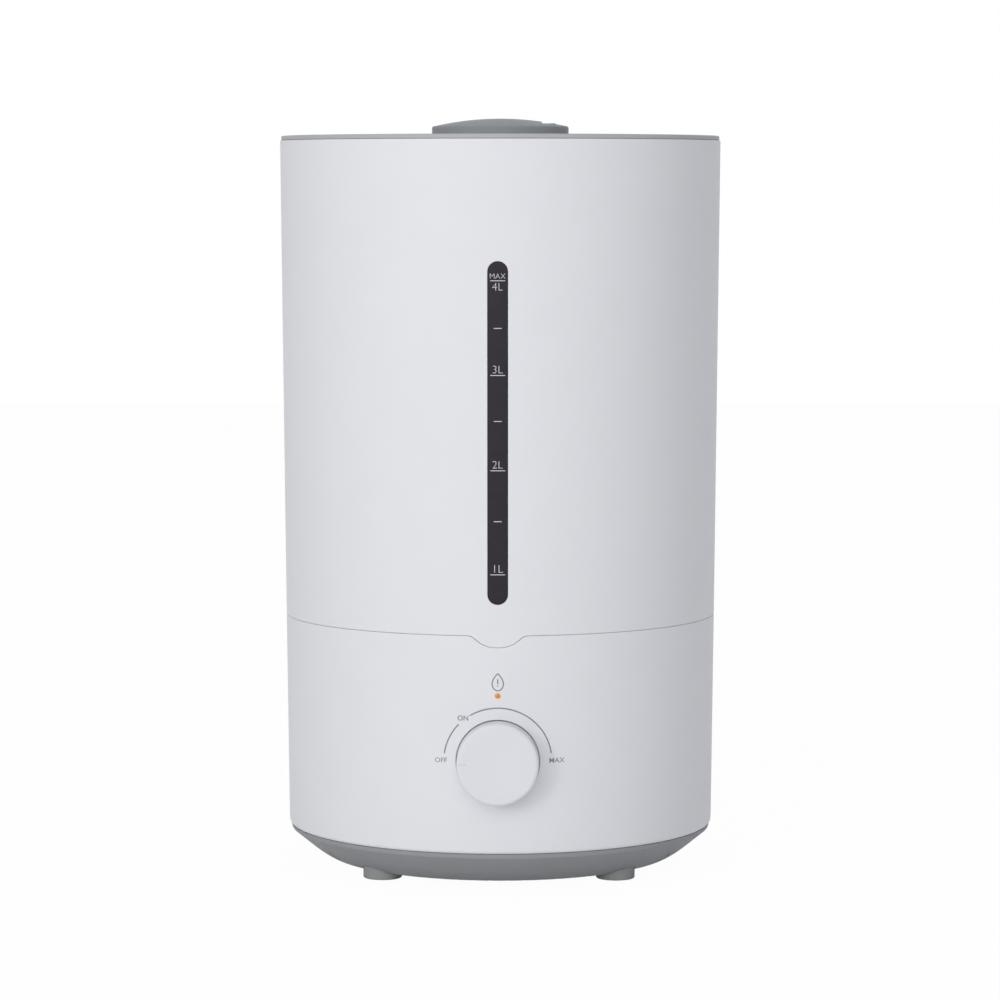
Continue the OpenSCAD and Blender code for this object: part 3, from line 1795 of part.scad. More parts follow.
// A mushroom that throws large drops back into the tube.
module nozzle_baffle() {
    post_r = 3;
    plate_t = 1.2;
    plate_r = lid_collar_r * 0.78;
    top_z = dome_z(post_r, cap_wall);
    color(cap_grey) on_axis()
        turned(rounded([
            [0, top_z - baffle_h],
            [plate_r, top_z - baffle_h - 0.8],
            [plate_r, top_z - baffle_h - 0.8 + plate_t, 0.4],
            [post_r, top_z - baffle_h + plate_t, 0.6],
            [post_r, top_z],
            [0, top_z]
        ]));
}

rubber_feet();
base_pan();
pan_screws();
base_housing();
cord_gland();
water_basin();
basin_gasket();
basin_screws();
transducer_disc();
transducer_seal();
transducer_clamp();
clamp_screws();
inlet_filter();
fan_frame();
fan_screws();
fan_motor();
fan_impeller();
air_duct();
duct_gasket();
float_post_cap();
float_ring();
float_magnet();
level_sensor();
driver_board();
heat_sink();
driver_coil();
power_board();
transformer();
smoothing_capacitors();
mains_terminal();
board_screws();
potentiometer();
bushing_nut();
dial_shaft();
control_knob();
indicator_board();
indicator_diode();
indicator_lens();
transducer_lead();
fan_lead();
dial_lead();
indicator_lead();
tank_shell();
water_window();
tank_floor();
mist_tube();
tube_seal();
valve_body();
valve_gasket();
valve_cage();
valve_spring();
valve_plunger();
valve_washer();
tank_lid();
lid_seal();
nozzle_cap();
nozzle_baffle();
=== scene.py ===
import json
import math

import bmesh
import bpy
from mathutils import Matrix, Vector
from mathutils.geometry import delaunay_2d_cdt


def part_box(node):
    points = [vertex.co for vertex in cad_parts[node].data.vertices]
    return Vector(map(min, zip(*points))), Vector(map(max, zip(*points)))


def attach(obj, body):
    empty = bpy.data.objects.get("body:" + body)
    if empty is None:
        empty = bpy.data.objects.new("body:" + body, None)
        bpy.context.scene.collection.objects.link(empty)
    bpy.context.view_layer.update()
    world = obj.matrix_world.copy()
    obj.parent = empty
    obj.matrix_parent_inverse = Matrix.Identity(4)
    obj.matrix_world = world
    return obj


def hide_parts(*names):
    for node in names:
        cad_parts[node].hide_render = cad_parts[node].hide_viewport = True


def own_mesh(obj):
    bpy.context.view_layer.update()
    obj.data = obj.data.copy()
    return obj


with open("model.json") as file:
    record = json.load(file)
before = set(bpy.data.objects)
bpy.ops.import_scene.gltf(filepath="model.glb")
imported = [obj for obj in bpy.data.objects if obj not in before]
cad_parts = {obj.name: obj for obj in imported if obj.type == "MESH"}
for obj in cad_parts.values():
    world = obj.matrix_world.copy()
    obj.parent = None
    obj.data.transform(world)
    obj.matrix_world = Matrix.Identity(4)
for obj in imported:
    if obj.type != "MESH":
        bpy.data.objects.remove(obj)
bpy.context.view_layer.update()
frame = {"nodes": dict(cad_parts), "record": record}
print("loaded", len(frame["nodes"]), "CAD nodes")

mm = 0.001


def nodeBox(name):
    low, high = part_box(name)
    return low / mm, high / mm


# shapes are drawn in millimetres round this upright axis, with the front at -Y
axisY = sum(corner.y for corner in nodeBox("mist_tube")) / 2
housingLow, housingHigh = nodeBox("base_housing")
tankLow, tankHigh = nodeBox("tank_shell")


def nodeCentre(name):
    low, high = nodeBox(name)
    return (low + high) / 2


body = {
    "seamRadius": 93.0,
    "bottomRadius": 92.0,
    "rimRadius": (tankHigh.x - tankLow.x) / 2,
    "bottom": housingLow.z + 1,
    "seam": housingHigh.z + 0.2,
    "seamGap": 0.1,
    "rim": tankHigh.z,
    "baseWall": 2.4,
    "tankWall": 2.2,
    "edge": 0.42,
    "columnTurn": 1.5,
    "fineTurn": 0.5,
    "fineHalf": 9.0,
}


def baseRadius(z):
    share = (z - body["bottom"]) / (body["seam"] - body["bottom"])
    return body["bottomRadius"] + (body["seamRadius"] - body["bottomRadius"]) * share


def tankRadius(z):
    share = (z - body["seam"]) / (body["rim"] - body["seam"])
    return body["seamRadius"] + (body["rimRadius"] - body["seamRadius"]) * share


# in mm: corners nearer than these are joined, and no free spot lies that near a hole
fine = {"merge": 0.003, "copyMerge": 0.002, "collapse": 0.001, "spotMargin": 0.6}


# the points and faces of one piece
class Shape:
    def __init__(self):
        self.points = []
        self.faces = []

    def add(self, points, faces):
        first = len(self.points)
        self.points += [tuple(point) for point in points]
        self.faces += [[first + corner for corner in face] for face in faces]

    # rings of equally many points, joined one to the next
    def addRings(self, rings, closed=False, skipped=()):
        count = len(rings[0])
        faces = []
        for k in range(len(rings) if closed else len(rings) - 1):
            here, there = k * count, (k + 1) % len(rings) * count
            for i in range(count):
                j = (i + 1) % count
                if (k, i) not in skipped:
                    faces.append((here + i, here + j, there + j, there + i))
        self.add([point for ring in rings for point in ring], faces)

    # an outline of (radius, height) turned round an upright line
    def addTurned(self, outline, steps, centre=(0, 0), closed=True):
        spokes = circleLoop(1.0, (0, 0), steps)
        rings = [[(centre[0] + r * c, centre[1] + r * s, z) for c, s in spokes] for r, z in outline]
        self.addRings(rings, closed)

    # an outline of (radius, y) turned round a level line from front to back
    def addFacing(self, outline, height, steps, closed=False):
        spokes = circleLoop(1.0, (0, 0), steps)
        self.addRings([[(c * r, y, height + s * r) for c, s in spokes] for r, y in outline], closed)


# corners are (r, z) or (r, z, rounding); every rounding gives the same number of points
def rounded(corners, steps=5):
    outline = []
    for i, corner in enumerate(corners):
        point = Vector(corner[:2])
        if len(corner) < 3 or corner[2] <= 0:
            outline.append(tuple(point))
            continue
        before = (Vector(corners[i - 1][:2]) - point).normalized()
        after = (Vector(corners[(i + 1) % len(corners)][:2]) - point).normalized()
        middle = before + after
        if middle.length < 0.0001:
            outline += [tuple(point)] * (steps + 1)
            continue
        half = before.angle(after) / 2
        reach = corner[2] / math.tan(half)
        hub = point + middle.normalized() * (corner[2] / math.sin(half))
        first = point + before * reach - hub
        last = point + after * reach - hub
        begin = math.atan2(first.y, first.x)
        sweep = (math.atan2(last.y, last.x) - begin + math.pi) % math.tau - math.pi
        for k in range(steps + 1):
            a = begin + sweep * k / steps
            outline.append((hub.x + corner[2] * math.cos(a), hub.y + corner[2] * math.sin(a)))
    return outline


def circleLoop(radius, centre, steps):
    angles = [math.tau * i / steps for i in range(steps)]
    return [(centre[0] + radius * math.cos(a), centre[1] + radius * math.sin(a)) for a in angles]


def ringSpots(radius, degrees):
    angles = [math.radians(a) for a in degrees]
    return [(radius * math.cos(a), radius * math.sin(a)) for a in angles]


# quarter round of an edge: the share of its size still left sideways, and the share gone in depth
def edgeSteps(steps=3):
    angles = [math.pi / 2 * k / steps for k in range(steps + 1)]
    return [(1 - math.sin(a), 1 - math.cos(a)) for a in angles]


# round-ended slot, upright in its second coordinate; grown keeps the points matched
def slotLoop(width, height, centre=(0, 0), grown=0.0, bends=14, spacing=6.0):
    radius = width / 2 + grown
    reach = (height - width) / 2
    runs = max(1, round(2 * reach / spacing))
    loop = []
    for end in (1, -1):
        begin = 0 if end > 0 else math.pi
        for i in range(bends + 1):
            a = begin + math.pi * i / bends
            loop.append((centre[0] + radius * math.cos(a), centre[1] + end * reach + radius * math.sin(a)))
        for i in range(1, runs):
            loop.append((centre[0] - end * radius, centre[1] + end * reach * (1 - 2 * i / runs)))
    return loop


def isInside(x, y, loop):
    inside = False
    for i, (ax, ay) in enumerate(loop):
        bx, by = loop[i - 1]
        if (ay > y) != (by > y) and x < (bx - ax) * (y - ay) / (by - ay) + ax:
            inside = not inside
    return inside


# triangles that fill a rim and leave the holes open
def fillSheet(rim, holes=(), spots=()):
    boxes = []
    for loop in holes:
        across, up = zip(*loop)
        boxes.append((min(across), min(up), max(across), max(up), loop))

    def isOpen(x, y, grow=0.0):
        return any(
            left - grow < x < right + grow
            and low - grow < y < high + grow
            and (grow > 0 or isInside(x, y, loop))
            for left, low, right, high, loop in boxes
        )

    points, edges = [], []
    for loop in (rim, *holes):
        first = len(points)
        points += [Vector(point) for point in loop]
        edges += [(first + i, first + (i + 1) % len(loop)) for i in range(len(loop))]
    points += [Vector(spot) for spot in spots if not isOpen(*spot, grow=fine["spotMargin"])]
    found = delaunay_2d_cdt(points, edges, [], 0, 0.00001)
    triangles = []
    for triangle in found[2]:
        x = sum(found[0][i].x for i in triangle) / 3
        y = sum(found[0][i].y for i in triangle) / 3
        if isInside(x, y, rim) and not isOpen(x, y):
            triangles.append(triangle)
    return [(point.x, point.y) for point in found[0]], triangles


# a clean mesh with its faces outwards, moved back by a length
def makeMesh(name, shape, back, merge):
    mesh = bpy.data.meshes.new(name)
    draft = bmesh.new()
    corners = [draft.verts.new((x * mm, (y + back) * mm, z * mm)) for x, y, z in shape.points]
    for face in shape.faces:
        draft.faces.new([corners[i] for i in face])
    bmesh.ops.remove_doubles(draft, verts=draft.verts, dist=merge * mm)
    bmesh.ops.dissolve_degenerate(draft, dist=fine["collapse"] * mm, edges=draft.edges)
    bmesh.ops.recalc_face_normals(draft, faces=draft.faces)
    draft.to_mesh(mesh)
    draft.free()
    return mesh


# puts a mesh in the scene and says what it rides on and stands for
def placePiece(name, mesh, bodyName, stands=(), sharp=36):
    mesh.polygons.foreach_set("use_smooth", [True] * len(mesh.polygons))
    mesh.set_sharp_from_angle(angle=math.radians(sharp))
    piece = bpy.data.objects.new(name, mesh)
    bpy.context.scene.collection.objects.link(piece)
    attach(piece, bodyName)
    if stands:
        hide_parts(*stands)
    return piece


def addPiece(name, shape, finish, bodyName, stands=(), sharp=36):
    mesh = makeMesh(name, shape, axisY, fine["merge"])
    mesh.materials.append(materials[finish])
    piece = placePiece(name, mesh, bodyName, stands, sharp)
    weigh = piece.modifiers.new("weigh", "WEIGHTED_NORMAL")
    weigh.keep_sharp = True
    return piece


def addNode(tree, kind, settings=None, **inputs):
    node = tree.nodes.new(kind)
    for key, value in (settings or {}).items():
        setattr(node, key, value)
    for key, value in inputs.items():
        node.inputs[key].default_value = value
    return node


def noise(tree, where, grain, detail=2.0):
    node = addNode(tree, "ShaderNodeTexNoise", Scale=1 / (grain * mm), Detail=detail)
    tree.links.new(where, node.inputs["Vector"])
    return node.outputs["Fac"]


def spread(tree, value, low, high, fromLow=0.3, fromHigh=0.7):
    node = addNode(tree, "ShaderNodeMapRange")
    for key, number in (("From Min", fromLow), ("From Max", fromHigh), ("To Min", low), ("To Max", high)):
        node.inputs[key].default_value = number
    tree.links.new(value, node.inputs["Value"])
    return node.outputs["Result"]


def mixColours(tree, factor, first, second):
    node = addNode(tree, "ShaderNodeMix", {"data_type": "RGBA"})
    tree.links.new(factor, node.inputs[0])
    for socket, colour in ((node.inputs[6], first), (node.inputs[7], second)):
        if isinstance(colour, bpy.types.NodeSocket):
            tree.links.new(colour, socket)
        else:
            socket.default_value = [*colour[:3], 1.0]
    return node.outputs[2]


def scaled(colour, factor):
    return [min(1.0, channel * factor) for channel in colour]


# scales at which the wave and brick textures give one band or one row for each unit
waveScale = 0.31416
brickScale = 0.25


# a pattern from 0 to 1: crossed threads, bands, spokes or a disc round a centre, or the tracks of a board
def addPattern(tree, where, pattern):
    kind, pitch = pattern["kind"], pattern["pitch"] * mm
    if kind in ("threads", "bands"):
        waves = []
        for way in ("X", "Y") if kind == "threads" else (pattern["along"],):
            wave = addNode(tree, "ShaderNodeTexWave", {"bands_direction": way}, Distortion=0.3)
            wave.inputs["Scale"].default_value = waveScale / pitch
            tree.links.new(where, wave.inputs["Vector"])
            waves.append(wave.outputs["Fac"])
        if len(waves) == 1:
            return waves[0]
        both = addNode(tree, "ShaderNodeMath", {"operation": "MAXIMUM"})
        tree.links.new(waves[0], both.inputs[0])
        tree.links.new(waves[1], both.inputs[1])
        return both.outputs[0]
    if kind == "tracks":
        brick = addNode(tree, "ShaderNodeTexBrick", Scale=brickScale / pitch)
        brick.inputs["Mortar Size"].default_value = 0.022
        brick.inputs["Mortar Smooth"].default_value = 0.2
        tree.links.new(where, brick.inputs["Vector"])
        return brick.outputs["Fac"]
    centred = addNode(tree, "ShaderNodeMapping", Location=[-value * mm for value in pattern["centre"]])
    tree.links.new(where, centred.inputs["Vector"])
    if kind == "disc":
        far = addNode(tree, "ShaderNodeVectorMath", {"operation": "LENGTH"})
        tree.links.new(centred.outputs[0], far.inputs[0])
        return spread(tree, far.outputs["Value"], 1.0, 0.0, pitch - 0.0002, pitch)
    apart = tree.nodes.new("ShaderNodeSeparateXYZ")
    tree.links.new(centred.outputs[0], apart.inputs[0])
    value = None
    steps = (("ARCTAN2", apart.outputs["X"]), ("MULTIPLY", pattern["count"]), ("SINE", None))
    for operation, second in steps:
        node = addNode(tree, "ShaderNodeMath", {"operation": operation})
        tree.links.new(value or apart.outputs["Y"], node.inputs[0])
        if isinstance(second, bpy.types.NodeSocket):
            tree.links.new(second, node.inputs[1])
        elif second:
            node.inputs[1].default_value = second
        value = node.outputs[0]
    return spread(tree, value, 0.0, 1.0, -1.0, 1.0)


# what a finish has unless it says otherwise; cloud, grain and depth are in mm; the edge settings paint convex
# edges lighter, partly as wear and partly as a painted highlight
plainLook = {"mottle": 0.015, "cloud": 18, "edge": 0.4, "edgeWearAndHighlight": 1.1, "grain": 0.35, "depth": 0.01}
smear = {"size": 7, "change": 0.05}
lookSockets = {
    "metallic": "Metallic",
    "specular": "Specular IOR Level",
    "coat": "Coat Weight",
    "transmission": "Transmission Weight",
    "subsurface": "Subsurface Weight",
    "glow": "Emission Strength",
}


def makeMaterial(name, changes):
    look = {**plainLook, **changes}
    material = bpy.data.materials.new(name)
    material.use_nodes = True
    tree = material.node_tree
    link = tree.links.new
    shader = tree.nodes["Principled BSDF"]
    where = addNode(tree, "ShaderNodeTexCoord").outputs["Object"]
    colour = look["colour"]
    cloud = spread(tree, noise(tree, where, look["cloud"], 3.0), 0.0, 1.0)
    tint = mixColours(tree, cloud, scaled(colour, 1 - look["mottle"]), scaled(colour, 1 + look["mottle"]))
    pattern = addPattern(tree, where, look["pattern"]) if "pattern" in look else None
    if pattern:
        tint = mixColours(tree, pattern, tint, scaled(colour, look["pattern"]["tint"]))
    # convex edges painted lighter: partly wear rubbed by hands and tools, partly a painted highlight where
    # light would catch the rounded edges
    convexEdgeMask = addNode(tree, "ShaderNodeNewGeometry").outputs["Pointiness"]
    wornAndLitEdge = scaled(colour, look["edgeWearAndHighlight"])
    tint = mixColours(tree, spread(tree, convexEdgeMask, 0.0, look["edge"], 0.52, 0.62), tint, wornAndLitEdge)
    link(tint, shader.inputs["Base Color"])
    smoothest = max(0.02, look["roughness"] - smear["change"])
    roughest = min(1.0, look["roughness"] + smear["change"])
    smears = noise(tree, where, smear["size"], 4.0)
    link(spread(tree, smears, smoothest, roughest), shader.inputs["Roughness"])
    bump = addNode(tree, "ShaderNodeBump", Distance=look["depth"] * mm, Strength=0.5)
    link(noise(tree, where, look["grain"], 3.0), bump.inputs["Height"])
    if pattern:
        relief = addNode(tree, "ShaderNodeBump", Distance=look["pattern"]["depth"] * mm, Strength=0.8)
        link(pattern, relief.inputs["Height"])
        link(bump.outputs["Normal"], relief.inputs["Normal"])
        bump = relief
    link(bump.outputs["Normal"], shader.inputs["Normal"])
    for key, socket in lookSockets.items():
        if key in look:
            shader.inputs[socket].default_value = look[key]
    if "glowColour" in look:
        shader.inputs["Emission Color"].default_value = [*look["glowColour"], 1.0]
    return material


finishes = {
    "whiteShell": {"colour": [0.775, 0.780, 0.806], "roughness": 0.52, "specular": 0.12, "grain": 0.4,
                   "depth": 0.012, "mottle": 0.006},
    "greyPan": {"colour": [0.318, 0.326, 0.338], "roughness": 0.58, "specular": 0.06, "grain": 0.45,
                "depth": 0.014},
    "lidGrey": {"colour": [0.448, 0.458, 0.476], "roughness": 0.5, "specular": 0.1, "grain": 0.4,
                "depth": 0.012},
    "capGrey": {"colour": [0.292, 0.313, 0.328], "roughness": 0.44, "specular": 0.045, "grain": 0.4,
                "depth": 0.012},
    "smokeWindow": {"colour": [0.028, 0.024, 0.031], "roughness": 0.3, "specular": 0.12, "grain": 4.0,
                    "depth": 0.0006, "mottle": 0.05, "cloud": 6},
    "basinPlastic": {"colour": [0.70, 0.72, 0.75], "roughness": 0.35, "subsurface": 0.05,
                     "grain": 0.6, "depth": 0.01},
    "innerWhite": {"colour": [0.76, 0.76, 0.76], "roughness": 0.4, "grain": 0.5, "depth": 0.01},
    "greyRubber": {"colour": [0.325, 0.333, 0.331], "roughness": 0.75, "specular": 0.12,
                   "grain": 0.25, "depth": 0.03, "mottle": 0.05},
    "blackRubber": {"colour": [0.02, 0.02, 0.022], "roughness": 0.7, "specular": 0.3, "grain": 0.3,
                    "depth": 0.03, "mottle": 0.08, "edgeWearAndHighlight": 1.8},
    "blackPlastic": {"colour": [0.022, 0.022, 0.024], "roughness": 0.45, "grain": 0.3, "depth": 0.02,
                     "mottle": 0.08, "edgeWearAndHighlight": 1.8},
    "steel": {"colour": [0.56, 0.56, 0.57], "roughness": 0.3, "metallic": 1.0, "edge": 0.6,
              "edgeWearAndHighlight": 1.5, "grain": 0.2, "depth": 0.01, "mottle": 0.06},
    "aluminium": {"colour": [0.62, 0.63, 0.65], "roughness": 0.38, "metallic": 1.0, "edge": 0.5,
                  "edgeWearAndHighlight": 1.5, "grain": 0.15, "depth": 0.015, "mottle": 0.04},
    "heatSink": {"colour": [0.60, 0.61, 0.63], "roughness": 0.4, "metallic": 1.0, "edge": 0.5,
                 "edgeWearAndHighlight": 1.5, "grain": 0.15, "mottle": 0.04,
                 "pattern": {"kind": "bands", "along": "Z", "pitch": 0.5, "depth": 0.01, "tint": 0.93}},
    "ceramicDisc": {"colour": [0.46, 0.44, 0.38], "roughness": 0.5, "metallic": 0.4, "grain": 0.3,
                    "mottle": 0.08,
                    "pattern": {"kind": "disc", "centre": nodeCentre("transducer_disc"), "pitch": 9.0,
                                "depth": 0.04, "tint": 1.5}},
    "copper": {"colour": [0.55, 0.25, 0.10], "roughness": 0.3, "metallic": 1.0, "grain": 0.2,
               "depth": 0.02, "mottle": 0.1},
    "coilWire": {"colour": [0.56, 0.26, 0.10], "roughness": 0.32, "metallic": 1.0, "grain": 0.2,
                 "mottle": 0.1,
                 "pattern": {"kind": "spokes", "centre": nodeCentre("driver_coil"), "count": 52,
                             "pitch": 1, "depth": 0.3, "tint": 0.5}},
    "filterMesh": {"colour": [0.022, 0.022, 0.025], "roughness": 0.7, "grain": 0.3, "mottle": 0.15,
                   "pattern": {"kind": "threads", "pitch": 1.1, "depth": 0.3, "tint": 3.2}},
    "circuitBoard": {"colour": [0.02, 0.13, 0.06], "roughness": 0.3, "coat": 0.5, "grain": 1.2,
                     "depth": 0.02, "mottle": 0.12, "cloud": 2.5,
                     "pattern": {"kind": "tracks", "pitch": 2.3, "depth": 0.035, "tint": 1.9}},
    "yellowTape": {"colour": [0.62, 0.42, 0.05], "roughness": 0.35, "grain": 0.8, "depth": 0.03,
                   "mottle": 0.08,
                   "pattern": {"kind": "bands", "along": "Z", "pitch": 3.4, "depth": 0.05, "tint": 0.85}},
    "sleeve": {"colour": [0.03, 0.035, 0.06], "roughness": 0.3, "grain": 0.8, "depth": 0.01,
               "mottle": 0.05},
    "zinc": {"colour": [0.45, 0.45, 0.46], "roughness": 0.42, "metallic": 1.0, "edge": 0.4,
             "edgeWearAndHighlight": 1.5, "grain": 0.3, "depth": 0.02, "mottle": 0.05},
    "amberLight": {"colour": [0.62, 0.35, 0.12], "roughness": 0.25, "transmission": 0.2, "grain": 0.5,
                   "depth": 0.002,
                   "glow": 0.05, "glowColour": [1.0, 0.36, 0.03]},
    "lampHalo": {"colour": [0.86, 0.60, 0.46], "roughness": 0.5, "grain": 0.3, "depth": 0.004,
                 "glow": 0.08,
                 "glowColour": [1.0, 0.5, 0.3]},
    "leadSleeve": {"colour": [0.025, 0.025, 0.028], "roughness": 0.5, "grain": 0.6, "depth": 0.01,
                   "mottle": 0.05},
    "knobWhite": {"colour": [0.752, 0.756, 0.786], "roughness": 0.48, "specular": 0.12, "grain": 0.4,
                  "depth": 0.010, "mottle": 0.006},
    "greyInk": {"colour": [0.22, 0.22, 0.24], "roughness": 0.55, "grain": 0.15, "depth": 0.003,
                "mottle": 0.04},
    "whiteInk": {"colour": [0.60, 0.60, 0.62], "roughness": 0.5, "grain": 0.15, "depth": 0.003,
                 "mottle": 0.03},
}
materials = {name: makeMaterial(name, look) for name, look in finishes.items()}
slotFinish = {
    "white_shell": "whiteShell",
    "grey_pan": "greyPan",
    "light_grey_lid": "lidGrey",
    "grey_cap": "capGrey",
    "smoke_window": "smokeWindow",
    "basin_plastic": "basinPlastic",
    "white_inner": "innerWhite",
    "rubber": "greyRubber",
    "black_rubber": "blackRubber",
    "black_plastic": "blackPlastic",
    "steel": "steel",
    "aluminium": "aluminium",
    "ceramic_disc": "ceramicDisc",
    "copper": "copper",
    "circuit_board": "circuitBoard",
    "yellow_tape": "yellowTape",
    "capacitor_sleeve": "sleeve",
    "zinc": "zinc",
    "amber_light": "amberLight",
    "lead_sleeve": "leadSleeve",
}
nodeFinish = {"inlet_filter": "filterMesh", "driver_coil": "coilWire", "heat_sink": "heatSink"}
slotOf = {part["node"]: part["material_slot"] for part in frame["record"]["subparts"]}
bodyOf = {node: name for name, nodes in frame["record"]["behaviour"]["bodies"].items() for node in nodes}
print("made", len(materials), "materials")

cadDress = {"sharpAngle": 32, "merge": 0.002}


# smooth faces with crisp edges on the CAD pieces, without touching their meshes
def makeSmoothTree():
    tree = bpy.data.node_groups.new("smoothByAngle", "GeometryNodeTree")
    link = tree.links.new
    tree.interface.new_socket("Geometry", in_out="INPUT", socket_type="NodeSocketGeometry")
    sharp = tree.interface.new_socket("Sharp Angle", in_out="INPUT", socket_type="NodeSocketFloat")
    sharp.default_value = math.radians(cadDress["sharpAngle"])
    tree.interface.new_socket("Geometry", in_out="OUTPUT", socket_type="NodeSocketGeometry")
    start = tree.nodes.new("NodeGroupInput")
    end = tree.nodes.new("NodeGroupOutput")
    merge = addNode(tree, "GeometryNodeMergeByDistance", Distance=cadDress["merge"] * mm)
    faces = addNode(tree, "GeometryNodeSetShadeSmooth", {"domain": "FACE"})
    edges = addNode(tree, "GeometryNodeSetShadeSmooth", {"domain": "EDGE"})
    angle = tree.nodes.new("GeometryNodeInputMeshEdgeAngle")
    flat = addNode(tree, "FunctionNodeCompare", {"operation": "LESS_EQUAL"})
    link(angle.outputs["Unsigned Angle"], flat.inputs["A"])
    link(start.outputs["Sharp Angle"], flat.inputs["B"])
    link(start.outputs["Geometry"], merge.inputs["Geometry"])
    link(merge.outputs["Geometry"], faces.inputs["Geometry"])
    link(faces.outputs["Geometry"], edges.inputs["Geometry"])
    link(flat.outputs["Result"], edges.inputs["Shade Smooth"])
    link(edges.outputs["Geometry"], end.inputs["Geometry"])
    return tree


smoothTree = makeSmoothTree()
for node, piece in frame["nodes"].items():
    finish = materials[nodeFinish.get(node, slotFinish[slotOf[node]])]
    piece.data.materials.clear()
    piece.data.materials.append(finish)
    smooth = piece.modifiers.new("smooth", "NODES")
    smooth.node_group = smoothTree
    weigh = piece.modifiers.new("weigh", "WEIGHTED_NORMAL")
    weigh.keep_sharp = True
print("dressed the CAD nodes")

# tank wall; the tab's drop is given in shares of its depth, from its ends to its middle
tab = {
    "halfWidth": 12.5,
    "depth": 4.95,
    "backRadius": 90.6,
    "halfTurn": 30,
    "drop": [0, 0.09, 0.36, 0.64, 0.81, 0.93, 0.985, 1.0],
}
window = {"width": 8.5, "height": 141.5, "middle": 192.05, "softEdge": 0.22, "recess": 0.2, "halfTurn": 6.0}
spigot = {"radius": 89.9, "inner": 87.7, "bottom": 91.7, "floor": 97.0, "ledge": 1.6, "top": 111}
tankRows = [118.0, 133, 148, 163, 178, 193, 208, 223, 238, 253, 266.0]


# how far the tab hangs below the seam at a distance from the middle
def tabDrop(x):
    place = min(1.0, abs(x) / tab["halfWidth"])
    steps = tab["drop"]
    t = (1 - place) * (len(steps) - 1)
    i = min(int(t), len(steps) - 2)
    t -= i
    a, b, c, d = steps[max(i - 1, 0)], steps[i], steps[i + 1], steps[min(i + 2, len(steps) - 1)]
    share = b + 0.5 * t * (c - a + t * (2 * a - 5 * b + 4 * c - d + t * (3 * (b - c) + d - a)))
    return tab["depth"] * max(0.0, share)


def columnTurns():
    found = []
    turnNow = -180.0
    half = body["fineHalf"]
    while turnNow < 180 - 0.001:
        found.append(turnNow)
        turnNow += body["fineTurn"] if -half <= turnNow < half - 0.001 else body["columnTurn"]
    return found


turns = columnTurns()


def columnRing(outlines, k):
    ring = []
    for a, outline in zip(turns, outlines):
        r, z = outline[k]
        ring.append((r * math.sin(math.radians(a)), -r * math.cos(math.radians(a)), z))
    return ring


# where a column outline passes a height, on its outer or inner side
def rowIndex(outline, z, radius):
    return next(
        i for i, (r, height) in enumerate(outline)
        if abs(height - z) < 0.0001 and abs(r - radius(z)) < 0.01
    )


def patchRim(radius, rows, low, high):
    across = [a for a in turns if low - 0.001 <= a <= high + 0.001]
    rim = [(radius(rows[0]) * math.sin(math.radians(a)), rows[0]) for a in across]
    rim += [(radius(z) * math.sin(math.radians(high)), z) for z in rows[1:-1]]
    rim += [(radius(rows[-1]) * math.sin(math.radians(a)), rows[-1]) for a in reversed(across)]
    rim += [(radius(z) * math.sin(math.radians(low)), z) for z in reversed(rows[1:-1])]
    return rim


# a point seen from the front, laid on the round wall
def onWall(x, z, radius, depth=0.0, side=-1):
    return (x, side * (math.sqrt(radius(z) ** 2 - x * x) - depth), z)


def laidLoop(loop, radius, depth=0.0, side=-1):
    return [onWall(x, z, radius, depth, side) for x, z in loop]


def softEdge(loops, radius, edge, side=-1):
    return [laidLoop(loops(edge * left), radius, edge * gone, side) for left, gone in edgeSteps()]


def innerTankRadius(z):
    return tankRadius(z) - body["tankWall"]


def makeTankWall():
    wall = Shape()
    seat = body["seam"] + body["seamGap"] / 2
    top = body["rim"]
    outlines = []
    for a in turns:
        x = body["seamRadius"] * math.sin(math.radians(a))
        low = seat - (tabDrop(x) if abs(a) < tab["halfTurn"] else 0)
        outlines.append(rounded(
            [
                (spigot["radius"], spigot["bottom"], 0.6),
                (spigot["radius"], seat),
                (tab["backRadius"] - 0.05, seat),
                (tab["backRadius"], low, 0.2),
                (tankRadius(low), low, body["edge"]),
                (tankRadius(112.5), 112.5),
            ]
            + [(tankRadius(z), z) for z in tankRows]
            + [
                (tankRadius(290), 290),
                (tankRadius(top), top, 0.3),
                (innerTankRadius(top), top, 0.6),
                (innerTankRadius(tankRows[-1]), tankRows[-1]),
                (innerTankRadius(tankRows[0]), tankRows[0]),
                (innerTankRadius(spigot["top"]), spigot["top"], 1.2),
                (spigot["inner"], spigot["top"], 0.4),
                (spigot["inner"], spigot["floor"]),
                (spigot["inner"] - spigot["ledge"], spigot["floor"]),
                (spigot["inner"] - spigot["ledge"], spigot["floor"] - 1),
                (spigot["inner"], spigot["floor"] - 1 - spigot["ledge"]),
                (spigot["inner"], spigot["bottom"], 0.4),
            ],
            4,
        ))
    front = outlines[turns.index(0.0)]
    half = window["halfTurn"]
    columns = [i for i, a in enumerate(turns) if -half - 0.001 <= a < half - 0.001]
    skipped = set()
    for radius in (tankRadius, innerTankRadius):
        ends = sorted(rowIndex(front, z, radius) for z in (tankRows[0], tankRows[-1]))
        skipped |= {(k, i) for k in range(*ends) for i in columns}
    wall.addRings([columnRing(outlines, k) for k in range(len(front))], True, skipped)

    def opening(grown):
        return slotLoop(window["width"], window["height"], (0, window["middle"]), grown)

    edge = window["softEdge"]
    for radius, patchRows, grown in ((tankRadius, tankRows, edge), (innerTankRadius, tankRows[::10], 0)):
        flat, triangles = fillSheet(patchRim(radius, patchRows, -half, half), [opening(grown)])
        wall.add(laidLoop(flat, radius), triangles)
    rings = softEdge(opening, tankRadius, edge)
    rings.append(laidLoop(opening(0), innerTankRadius))
    wall.addRings(rings)
    return addPiece("tankWall", wall, "whiteShell", "tank", ["tank_shell"])


makeTankWall()


pane = {"edge": 0.3, "gap": 0.06, "flange": 2.5, "flangeBack": 1.2}


